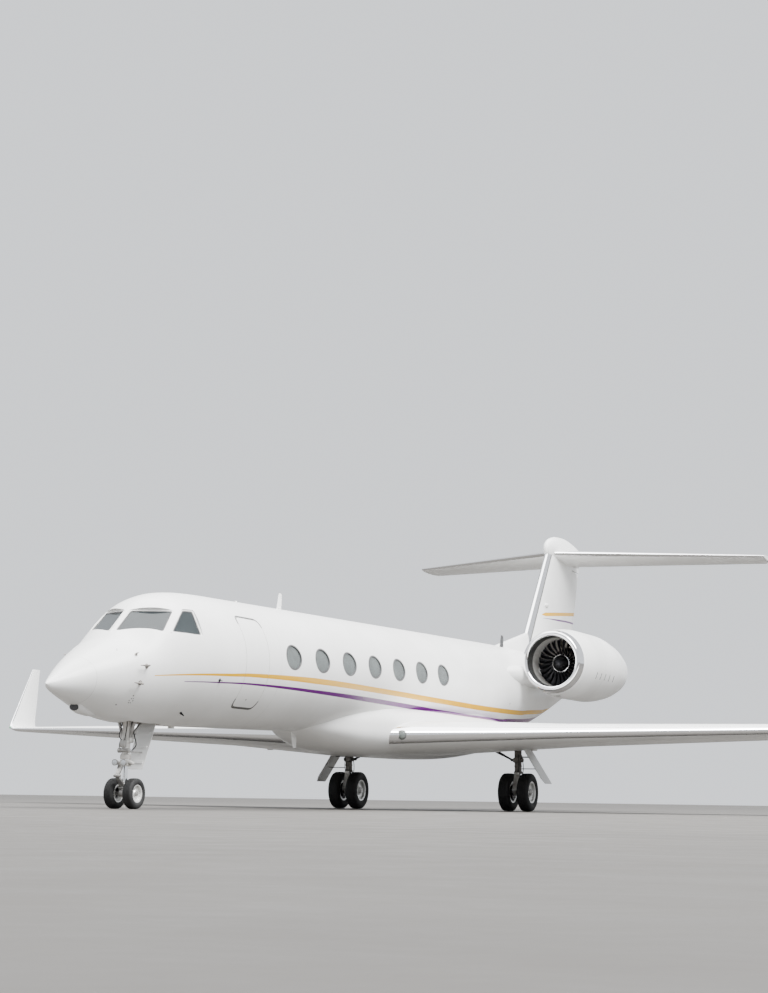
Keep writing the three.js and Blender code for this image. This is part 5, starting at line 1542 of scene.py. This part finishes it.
MAIN_HOSES = (
    ((0.05, 0.1, 1.3), (0.09, 0.1, 1.05), (0.07, 0.12, 0.8), (0.085, 0.1, 0.62), (0.09, 0.08, 0.53), 0.01),
    (
        (-0.05, 0.1, 1.3), (-0.09, 0.1, 1.02), (-0.07, 0.12, 0.8), (-0.085, 0.1, 0.6), (-0.09, 0.08, 0.53),
        0.01,
    ),
    ((0.03, -0.09, 1.32), (0.06, -0.11, 1.1), (0.05, -0.12, 0.95), (0.03, -0.1, 0.88), 0.008),
)
DOOR_LINKS = (
    ((0.09, -0.02, 1.25), (0.35, -0.02, 1.25), 0.016),
    ((0.1, -0.02, 0.98), (0.52, -0.02, 0.98), 0.011),
)
# The brake's ends and radii, and the circle, reach and size of its pistons
BRAKE_START, BRAKE_END, BRAKE_INNER, BRAKE_OUTER = 0.1, 0.2, 0.056, 0.172
PISTON_RING, PISTON_END, PISTON_SIZES = 0.125, 0.078, (0.024, 0.02, 16)
MAIN_BORE, MAIN_RIM_HOLES = (0.052, 0.3, 0.105, 0.076), (0.62, 0.135, 9)
# Main door: its ends, the depths of its plate and ribs, and how far the ribs run across it
MAIN_DOOR_ENDS = ((0.235, 0, 1.42), (0.735, 0, 0.64))
MAIN_DOOR_DEPTHS, MAIN_RIB_DEPTHS, MAIN_RIB_ENDS = (0.003, 0.022), (-0.02, 0.006), (-0.24, 0.18)
MAIN_RIBS = ((0.1, 0.14), (0.42, 0.46), (0.76, 0.8))


def make_main_gear(side):
    x = MAIN_GEAR_X if side == "left" else -MAIN_GEAR_X
    at = gear_place(MAIN_GEAR, x)
    height = MAIN_GEAR["axle"]
    add(f"main_leg_column_{side}", spindles(at, MAIN_COLUMN), GEAR_DARK, [f"main_leg_{side}"])
    add(f"main_piston_{side}", spindles(at, MAIN_PISTON), CHROME)
    boss = axle_boss(at, MAIN_BOSS, height, *MAIN_BORE)
    links = [*webs(at, MAIN_LINKS), *spindles(at, MAIN_LINK_PIN), *blocks(at, MAIN_LUG)]
    add(f"main_fork_{side}", [*boss, *links], GEAR_PAINT)
    braces = [*spindles(at, MAIN_BRACES), *rods(at, MAIN_BRACE_PINS)]
    add(f"main_brace_rods_{side}", braces, BLACK_METAL, [f"main_brace_{side}"])
    brakes, pistons = [], []
    for sign in (-1, 1):
        ends = (at(sign * BRAKE_START, 0, height), at(sign * BRAKE_END, 0, height))
        brakes.append(tube(*ends, BRAKE_INNER, BRAKE_OUTER, 48))
        for t in circle(6):
            spot = (PISTON_RING * math.cos(t), height + PISTON_RING * math.sin(t))
            pistons.append(rod(at(sign * BRAKE_START, *spot), at(sign * PISTON_END, *spot), *PISTON_SIZES))
    add(f"brakes_{side}", brakes, DARK_METAL)
    add(f"brake_pistons_{side}", pistons, STEEL)
    add(f"main_hoses_{side}", pipes(at, MAIN_HOSES), HOSE)
    ends = ("outer", "inner") if side == "left" else ("inner", "outer")
    nodes = [f"main_tyre_{side}_{end}" for end in ends]
    names = (f"main_wheels_{side}", nodes, f"main_{side}_hubs")
    make_wheels(f"main_wheel_{side}", MAIN_GEAR, x, *names, MAIN_RIM_HOLES)
    make_main_door(side, at)


def make_main_door(side, at):
    """The door that hangs outboard of the leg, with its ribs and links."""
    head, foot = (at(*end) for end in MAIN_DOOR_ENDS)
    down = (foot - head).normalized()
    length = (foot - head).length
    out = Vector((math.copysign(1, head.x), 0, 0))
    corners = ((-0.3, 0.0), (0.23, 0.0), (0.23, length), (-0.22, length), (-0.3, length - 0.14))
    outline = rounded_outline([Vector(c) for c in corners], 0.03, 5)
    outline = [head + Vector((0, p.x, 0)) + down * p.y for p in outline]
    depths = MAIN_DOOR_DEPTHS if side == "left" else MAIN_DOOR_DEPTHS[::-1]
    shapes = [plate_between(outline, out, depths)]
    fore, aft = MAIN_RIB_ENDS
    for start, end in MAIN_RIBS:
        corners = ((fore, start), (aft, start), (aft, end), (fore, end))
        spots = [head + Vector((0, a, 0)) + down * b for a, b in corners]
        shapes.append(plate_between(spots, out, MAIN_RIB_DEPTHS))
    add(f"main_door_plate_{side}", shapes, PAINT, [f"main_gear_door_{side}"])
    add(f"main_door_links_{side}", rods(at, DOOR_LINKS), STEEL)


# Small forms on the skin
PROBES = ((1.737, 2.393), (1.637, 2.105))
# Dark spots: station, height and radius
SPOTS = (
    (1.608, 1.891, 0.014), (1.399, 1.732, 0.015), (1.381, 2.661, 0.008), (1.36, 2.64, 0.008),
    (3.23, 1.65, 0.014), (9.9, 2.3, 0.012), (18.46, 2.618, 0.02), (5.0, 2.0, 0.016),
)
PORT_RING_AT, PORT_RING_RADIUS, PORT_COUNT, PORT_RADIUS = (1.624, 1.809), 0.04, 6, 0.011
# Places on the port skin, as station and height
VANE_AT, DRAIN_AT, HANDLE_AT = (1.6, 2.581), (3.147, 1.68), (3.738, 2.277)
# Blades: name, x, station, height of the foot, reach, chord, sweep, thickness, and if they are white
BLADES_OUT = (
    ("roof_antenna", 0.0, 8.0, 3.95, 0.37, 0.2, 0.1, 0.02, True),
    ("tail_antenna", 0.3, 19.95, 4.17, 0.3, 0.24, 0.08, 0.05, False),
    ("belly_antenna", 0.0, 8.75, 1.6, -0.36, 0.24, 0.12, 0.02, True),
)
BLADE_SIZES = ((0.0, 1.0), (0.5, 0.85), (0.93, 0.62), (1.0, 0.4))
# Profiles: share of the length and radius
DRAIN, ROOF_PROFILE = ((0, 0.026), (0.4, 0.018), (1, 0.01)), ((0, 0.05), (0.6, 0.04), (1, 0.015))
# On the middle line: station, and lower and upper height
ROOF_FIXTURE, NOSE_JACK_PAD = (6.3, 3.93, 3.985), (4.0, 1.44, 1.505)


def skin_spot(station, height):
    """A place on the port skin, with its directions out and aft."""
    x = skin_side(station, height)
    out = skin_normal(x, station, height)
    return Vector((x, y_at(station), height)), out, (Vector((0, 1, 0)) - out * out.y).normalized()


def skin_disc(station, height, radius, end_radius=None, proud=0.003, root=0.012, sides=20):
    spot, out, _ = skin_spot(station, height)
    return rod(spot - out * root, spot + out * proud, radius, end_radius or radius * 0.9, sides)


def foot_plate(place, radius, end_radius, proud=0.004):
    return skin_disc(*place, radius, end_radius, proud, 0.01, 24)


def air_probe(place):
    """A foot plate, a mast and a tube that points forward."""
    spot, out, aft = skin_spot(*place)
    elbow = spot + out * 0.075
    mast = spindle(spot, elbow + out * 0.01, ((0, 0.03), (0.5, 0.02), (1, 0.013)), 16)
    profile = ((0, 0.006), (0.1, 0.015), (0.6, 0.014), (1, 0.008))
    nose_tube = spindle(elbow + aft * 0.02, elbow - aft * 0.19, profile, 16)
    return together(foot_plate(place, 0.045, 0.042), mast, nose_tube)


def wind_vane():
    spot, out, aft = skin_spot(*VANE_AT)
    post = spindle(spot, spot + out * 0.05 + aft * 0.02, ((0, 0.012), (1, 0.006)), 12)
    front, back = spot + out * 0.045 - aft * 0.035, spot + out * 0.05 + aft * 0.04
    fin = spindle(front, back, ((0, 0.004), (0.5, 0.011), (1, 0.004)), 12)
    return together(foot_plate(VANE_AT, 0.03, 0.028, 0.006), post, fin)


def blade(x, station, foot, reach, chord, sweep, thickness):
    rings = []
    for share, size in BLADE_SIZES:
        nose = (x, y_at(station) + share * sweep, foot + share * reach)
        rings.append(foil_ring(nose, chord * size, thickness * size, 90))
    return loft(rings)


def make_fixtures():
    probes = [shape for place in PROBES for shape in both(air_probe(place))]
    spots = [shape for row in SPOTS for shape in both(skin_disc(*row))]
    for t in circle(PORT_COUNT):
        station = PORT_RING_AT[0] + PORT_RING_RADIUS * math.cos(t)
        height = PORT_RING_AT[1] + PORT_RING_RADIUS * math.sin(t)
        spots += both(skin_disc(station, height, PORT_RADIUS))
    spot, out, aft = skin_spot(*DRAIN_AT)
    drain = spindle(spot - out * 0.01, spot + out * 0.07 + aft * 0.05, DRAIN, 16)
    spot, out, aft = skin_spot(*HANDLE_AT)
    path = [spot + out * 0.002 - aft * 0.04, spot + out * 0.03, spot + out * 0.024 + aft * 0.06]
    lever = pipe(path, 0.008)
    add("air_probes", probes, GEAR_DARK)
    add("skin_vanes", both(wind_vane()), GEAR_DARK)
    add("skin_spots", spots, GAP_AND_SHADOW_LINE)
    add("skin_drains", [*both(drain), foot_plate(HANDLE_AT, 0.034, 0.032), lever], DARK_METAL)
    for name, *sizes, white in BLADES_OUT:
        add(name, [blade(*sizes)], PAINT if white else SEAL)
    station, low, high = ROOF_FIXTURE
    fixture = spindle((0, y_at(station), low), (0, y_at(station), high), ROOF_PROFILE)
    add("roof_fixture", [fixture], STEEL)
    station, low, high = NOSE_JACK_PAD
    pad = rod((0, y_at(station), low), (0, y_at(station), high), 0.06, sides=32)
    add("nose_jack_pad", [pad], DUCT_METAL)


# Scoop under the nose: station, half width and depth below the keel
SCOOP = ((0.84, 0.1, 0.07), (0.87, 0.12, 0.095), (1.0, 0.125, 0.1), (1.22, 0.1, 0.07), (1.52, 0.02, 0.006))
SCOOP_ROOT = 0.03
# The mouth's rings: how far back, and their size
SCOOP_MOUTH = ((-0.012, 0.8), (-0.004, 0.86), (0.01, 0.86))


def oval(y, height, wide, high, sides=40):
    return [(wide * math.cos(t), y, height + high * math.sin(t)) for t in circle(sides)]


def make_scoop():
    rings = []
    for station, half_width, depth in SCOOP:
        height = axis_at(station) + smooth(HULL_FRAMES, station, 2) - depth / 2
        rings.append(oval(y_at(station), height + SCOOP_ROOT, half_width, depth / 2 + SCOOP_ROOT))
    add("nose_scoop", [loft(rings)], PAINT)
    station, half_width, depth = SCOOP[0]
    height = axis_at(station) + smooth(HULL_FRAMES, station, 2) - depth / 2
    mouth = [
        oval(y_at(station) + back, height, size * half_width, size * depth) for back, size in SCOOP_MOUTH
    ]
    add("nose_scoop_mouth", [loft(mouth)], SEAL)


# Entry door: how far its seals stand proud, the insets of each, and the steps inside it
SEAL_PROUD, SEAL_ROOT = 0.0012, 0.01
FRAME_SEAL, EDGE_SEAL = (-0.014, -0.0005), (0.0085, 0.022)
STEP_COUNT, STEP_FIRST, STEP_PITCH, STEP_STATION, STEP_WIDTH = 5, 2.08, 0.3, 5.05, 0.64
STEP_INNER, STEP_OUTER, STEP_HALF_THICKNESS, RAIL_INSET, RAIL_RADIUS = 0.265, 0.07, 0.015, 0.25, 0.013


def edge_ring(outer, inner):
    """A thin seal that follows the skin along the door's outline, between two insets."""
    rings = []
    for inset, lift in ((outer, -SEAL_ROOT), (outer, SEAL_PROUD), (inner, SEAL_PROUD), (inner, -SEAL_ROOT)):
        rings.append([(skin_side(y + LENGTH / 2, z, -lift), y, z) for y, z in door_outline(inset)])
    return loft(rings, ring=True)


def make_door_edges():
    add("door_frame_seal", [edge_ring(*FRAME_SEAL)], GAP_AND_SHADOW_LINE)
    add("door_edge_seal", [edge_ring(*EDGE_SEAL)], GAP_AND_SHADOW_LINE, (), "door")
    treads, strips = [], []
    paths = {-1: [], 1: []}
    y, half = y_at(STEP_STATION), STEP_WIDTH / 2
    for height in shares(STEP_COUNT, STEP_FIRST, STEP_FIRST + (STEP_COUNT - 1) * STEP_PITCH):
        side = skin_side(STEP_STATION, height)
        near = side - STEP_INNER
        low = (near, y - half, height - STEP_HALF_THICKNESS)
        high = (side - STEP_OUTER, y + half, height + STEP_HALF_THICKNESS)
        treads.append(rounded_box(low, high, 0.008))
        low = (near + 0.02, y - half + 0.03, height + 0.014)
        strips.append(box(low, (near + 0.07, y + half - 0.03, height + 0.017)))
        for end, path in paths.items():
            path.append((side - RAIL_INSET, y + end * half, height))
    add("door_steps", treads, DUCT_METAL, (), "door")
    add("door_step_grips", strips, SEAL, (), "door")
    add("door_rails", [pipe(path, RAIL_RADIUS) for path in paths.values()], STEEL, (), "door")


# Cockpit
COCKPIT_FLOOR = 1.87
SEAT_X = 0.45
# Seat: half width, start and end stations, heights above the floor, and corner
SEAT_FORMS = (
    (0.12, 3.22, 3.48, 0.015, 0.26, 0.03), (0.22, 3.15, 3.55, 0.24, 0.36, 0.045),
    (0.21, 3.5, 3.62, 0.32, 1.0, 0.045), (0.12, 3.52, 3.6, 0.97, 1.18, 0.03),
)
YOKE_STATION, YOKE_RADIUS = 2.85, 0.015
YOKE_PATH = ((-0.16, 0.76), (-0.15, 0.66), (-0.09, 0.6), (0, 0.6), (0.09, 0.6), (0.15, 0.66), (0.16, 0.76))
YOKE_POST = ((2.76, 0.05), (2.84, 0.6))
PANEL_OUTLINE = ((2.42, 0.03), (2.56, 0.03), (2.64, 0.76), (2.48, 0.90), (2.30, 0.86))
PANEL_HALF_WIDTH = 0.68
DESK_HALF_WIDTH, DESK = 0.13, ((2.66, 0.01), (3.3, 0.46))
SCREENS, SCREEN_HALF_WIDTH, SCREEN_HEIGHTS = (-0.51, -0.17, 0.17, 0.51), 0.15, (0.42, 0.7)
SCREEN_FRONT, SCREEN_BACK = 0.01, 0.006


def in_cockpit(x, station, up):
    return x, y_at(station), COCKPIT_FLOOR + up


def screen(middle):
    (near, low), (far, high) = PANEL_OUTLINE[1], PANEL_OUTLINE[2]
    left, right = middle - SCREEN_HALF_WIDTH, middle + SCREEN_HALF_WIDTH
    rings = []
    for up in SCREEN_HEIGHTS:
        _, y, z = in_cockpit(0, near + (far - near) * (up - low) / (high - low), up)
        front, back = y - SCREEN_FRONT, y + SCREEN_BACK
        rings.append([(left, front, z), (right, front, z), (right, back, z), (left, back, z)])
    return loft(rings)


def make_cockpit():
    for side, x in (("left", SEAT_X), ("right", -SEAT_X)):
        forms = [
            rounded_box(in_cockpit(x - half, start, low), in_cockpit(x + half, end, high), radius)
            for half, start, end, low, high, radius in SEAT_FORMS
        ]
        add(f"pilot_seat_form_{side}", forms, LEATHER, [f"pilot_seat_{side}"])
        post = rod(*[in_cockpit(x, *place) for place in YOKE_POST], 0.022, 0.018)
        wheel = pipe([in_cockpit(x + out, YOKE_STATION, up) for out, up in YOKE_PATH], YOKE_RADIUS)
        add(f"control_yoke_{side}", [post, wheel], SEAL)
    outline = [in_cockpit(0, *place)[1:] for place in PANEL_OUTLINE]
    panel = prism(outline, "x", -PANEL_HALF_WIDTH, PANEL_HALF_WIDTH)
    low, high = in_cockpit(-DESK_HALF_WIDTH, *DESK[0]), in_cockpit(DESK_HALF_WIDTH, *DESK[1])
    add("instrument_desk", [panel, rounded_box(low, high, 0.03)], PANEL_GREY, ["instrument_panel"])
    add("instrument_screens", [screen(middle) for middle in SCREENS], SCREEN)


# Small forms on the wing, tail and engines
SPOILERS = ((3.1, 4.85), (5.0, 6.9), (7.05, 9.2))
SPOILER_REACH = (0.6, 0.745)
SPOILER_LIFT, SPOILER_DEPTH = 0.003, 0.006
SPOILER_GAP_ALONG, SPOILER_GAP_ACROSS, SPOILER_GAP_LIFT, SPOILER_GAP_DEPTH = 0.01, 0.002, 0.0012, 0.004
WICK_REACH, WICK_ROOT, WICK_RADIUS = 0.036, 0.03, 0.004
WICKS = ((WING, (13.25, 13.5, 13.75)), (TAILPLANE, (5.24, 5.33)))
# Landing lamp in the wing's root: profiles in shares of the lens
LENS_X, LENS_RADIUS, LENS_ROOT, LENS_PROUD = 1.4, 0.088, 0.06, 0.016
LENS_PROFILE = ((0, 1), (0.75, 1), (0.92, 0.8), (1, 0.4))
LENS_RING = ((0.0, 0.98), (0.0, 1.16), (0.058, 1.14), (0.064, 0.98))
TIP_GLOW = ((0, 0.012), (0.15, 0.03), (0.6, 0.034), (1, 0.02))
TIP_GLOW_ENDS = (-0.012, 0.12)
LOUVRES = (1.15, 1.5, 1.85, 2.2, 2.55)
LOUVRE_TURN, LOUVRE_STEP, LOUVRE_HALF, LOUVRE_RADIUS = 20, 0.065, 0.03, 0.009
# Vent below each pod: half width, start and end aft of the lip, and depth
VENT_HALF, VENT_START, VENT_END, VENT_MIDDLE, VENT_DEPTH, VENT_PROUD = 0.05, 0.56, 0.7, 0.62, 0.03, 0.004
# Blister on each side of the fin: x, start and end stations, height, and its profile
BLISTER_X, BLISTER_START, BLISTER_END, BLISTER_HEIGHT = 0.19, 23.78, 24.02, 5.63
BLISTER = ((0, 0.012), (0.12, 0.04), (0.4, 0.055), (0.75, 0.045), (1, 0.012))
TAIL_LAMP = ((0, 0.02), (0.6, 0.018), (1, 0.008))
TAIL_LAMP_ENDS = (-0.03, 0.02)


def skin_sheet(rows, span, reach, lift, depth):
    """A thin panel on a wing's upper skin, between two places along the span and two shares of the chord."""
    rings = []
    for x in shares(9, *span):
        top, low = [], []
        for share in shares(7, *reach):
            y, half = chord_point(rows, x, share)
            z = straight(rows, x, 3) + half + lift
            top.append((x, y, z))
            low.append((x, y, z - depth))
        rings.append(top + low[::-1])
    return loft(rings)


def make_wing_details(side):
    panels, gaps = [], []
    wider = (SPOILER_REACH[0] - SPOILER_GAP_ACROSS, SPOILER_REACH[1] + SPOILER_GAP_ACROSS)
    for start, end in SPOILERS:
        longer = (start - SPOILER_GAP_ALONG, end + SPOILER_GAP_ALONG)
        panel = skin_sheet(WING, (start, end), SPOILER_REACH, SPOILER_LIFT, SPOILER_DEPTH)
        gap = skin_sheet(WING, longer, wider, SPOILER_GAP_LIFT, SPOILER_GAP_DEPTH)
        panels.append(on_side(side, panel))
        gaps.append(on_side(side, gap))
    add(f"spoilers_{side}", panels, PAINT)
    add(f"spoiler_gaps_{side}", gaps, GAP_AND_SHADOW_LINE)
    lens_at = Vector((LENS_X, y_at(straight(WING, LENS_X, 1)), straight(WING, LENS_X, 3)))
    forward = Vector((0.25, -1, 0)).normalized()
    root = lens_at - forward * LENS_ROOT
    lens = spindle(root, lens_at + forward * LENS_PROUD, [(a, r * LENS_RADIUS) for a, r in LENS_PROFILE])
    ring = turned([(a, r * LENS_RADIUS) for a, r in LENS_RING], 48, ring=True)
    add(f"landing_lamp_{side}", [on_side(side, lens)], LENS)
    ring = on_side(side, moved(ring, along_matrix(root, lens_at)))
    add(f"landing_lamp_ring_{side}", [ring], GAP_AND_SHADOW_LINE)
    x, station, z = WINGLET[1][:3]
    glow = spindle(*[(x, y_at(station) + end, z) for end in TIP_GLOW_ENDS], TIP_GLOW)
    add(f"tip_lamp_{side}", [on_side(side, glow)], RED_GLASS if side == "left" else GREEN_GLASS)
    wicks = []
    for rows, places in WICKS:
        for x in places:
            back = y_at(straight(rows, x, 2))
            z = straight(rows, x, 3) - (straight(rows, x, 4) if len(rows[0]) == 6 else 0.0)
            wick = rod((x, back - WICK_ROOT, z), (x, back + WICK_REACH, z), WICK_RADIUS, sides=8)
            wicks.append(on_side(side, wick))
    add(f"static_wicks_{side}", wicks, DARK_METAL)


def make_engine_details(side):
    outward = 1 if side == "left" else -1
    x, y = outward * ENGINE_X, y_at(ENGINE_STATION)
    slots = []
    for aft in LOUVRES:
        radius = smooth(POD_OUTSIDE, aft, 1)
        for step in (-1, 0, 1):
            lean = math.radians(LOUVRE_TURN) + step * LOUVRE_STEP
            across, down = radius * math.cos(lean), radius * math.sin(lean)
            spot = Vector((x + outward * across, y + aft, ENGINE_HEIGHT - down))
            tangent = Vector((-outward * math.sin(lean), 0, -math.cos(lean))) * LOUVRE_HALF
            slots.append(rod(spot - tangent, spot + tangent, LOUVRE_RADIUS, sides=8))
    foot = ENGINE_HEIGHT - smooth(POD_OUTSIDE, VENT_MIDDLE, 1)
    low = (x - VENT_HALF, y + VENT_START, foot - VENT_PROUD)
    vent = box(low, (x + VENT_HALF, y + VENT_END, foot + VENT_DEPTH))
    add(f"nacelle_louvres_{side}", [*slots, vent], GAP_AND_SHADOW_LINE)


def make_tail_details():
    ends = [(BLISTER_X, y_at(s), BLISTER_HEIGHT) for s in (BLISTER_START, BLISTER_END)]
    add("fin_blisters", both(spindle(*ends, BLISTER)), PAINT)
    ends = [(0, y_at(BULLET["end"]) + end, BULLET["height"]) for end in TAIL_LAMP_ENDS]
    add("tail_lamp", [spindle(*ends, TAIL_LAMP)], LAMP)


# Floor, light and camera
FLOOR_DARK, FLOOR_PALE = (0.086, 0.081, 0.075), (0.1, 0.095, 0.088)
FLOOR_SIDE, FLOOR_FRONT, FLOOR_BACK = 400, 400, 600
SKY_COLOUR, SKY_STRENGTH = (0.86, 0.89, 0.93, 1), 1.35
# Lights: name, kind, place, target, width in metres or degrees, and strength
STUDIO_LIGHTS = (
    ("key", "AREA", (22, -11, 33), (0, -1, 2), 24, 40000),
    ("fill", "AREA", (-20, -16, 30), (0, 0, 2), 26, 8000),
    ("top", "SUN", (0, 6, 34), (0, 4, 0), 75, 8.5),
)


def linked(name, data):
    made = bpy.data.objects.new(name, data)
    bpy.context.scene.collection.objects.link(made)
    return made


def make_floor():
    material, tree, shader, place = start_material("pale_floor")
    cloud = ranged(tree, noise(tree, place, 0.35, 8.0, 0.6), 0.3, 0.7)
    feed(tree, shader, {
        "Base Color": mixed(tree, cloud, FLOOR_DARK, FLOOR_PALE),
        "Roughness": ranged(tree, noise(tree, place, 2.0), 0.3, 0.7, 0.45, 0.65),
        "Specular IOR Level": 0.12,
    })
    a, b, c = FLOOR_SIDE, FLOOR_FRONT, FLOOR_BACK
    ground = body_object("floor", ([(-a, -b, 0), (a, -b, 0), (a, c, 0), (-a, c, 0)], [(0, 1, 2, 3)]))
    ground.data.materials.append(material)


def make_light():
    world = bpy.data.worlds.new("studio")
    world.use_nodes = True
    background = world.node_tree.nodes["Background"]
    background.inputs["Color"].default_value = SKY_COLOUR
    background.inputs["Strength"].default_value = SKY_STRENGTH
    bpy.context.scene.world = world
    for name, kind, place, target, size, power in STUDIO_LIGHTS:
        data = bpy.data.lights.new(name, kind)
        data.energy = power
        if kind == "SUN":
            data.angle = math.radians(size)
        else:
            data.shape = "DISK"
            data.size = size
        lamp = linked(name, data)
        lamp.location = place
        lamp.rotation_euler = (Vector(target) - Vector(place)).to_track_quat("-Z", "Y").to_euler()


def make_camera():
    data = bpy.data.cameras.new("camera")
    camera = linked("camera", data)
    yaw, pitch, roll = CAMERA_YAW, CAMERA_PITCH, CAMERA_ROLL
    forward = Vector((-math.sin(yaw) * math.cos(pitch), math.cos(yaw) * math.cos(pitch), math.sin(pitch)))
    right = Vector((math.cos(yaw), math.sin(yaw), 0))
    up = right.cross(forward)
    right, up = math.cos(roll) * right + math.sin(roll) * up, math.cos(roll) * up - math.sin(roll) * right
    turn = Matrix((right, up, -forward)).transposed().to_4x4()
    camera.matrix_world = Matrix.Translation(CAMERA_AT) @ turn
    data.sensor_fit = "AUTO"
    data.sensor_width = SENSOR
    data.lens = CAMERA_FOCUS * SENSOR / PHOTO_HEIGHT
    data.clip_end = 2000
    bpy.context.scene.camera = camera


make_floor()
make_light()
make_camera()
make_fuselage()
for side in ("left", "right"):
    make_wing(side)
    make_pod(side)
    make_core(side)
    make_pylon(side)
    make_fan(side)
    make_windows(side)
    make_main_gear(side)
    make_wing_details(side)
    make_engine_details(side)
make_nose_gear()
make_fixtures()
make_scoop()
make_door_edges()
make_cockpit()
make_tail_details()
make_fairing()
make_fin()
make_fillet()
make_bullet()
make_tailplane()

bpy.context.view_layer.update()
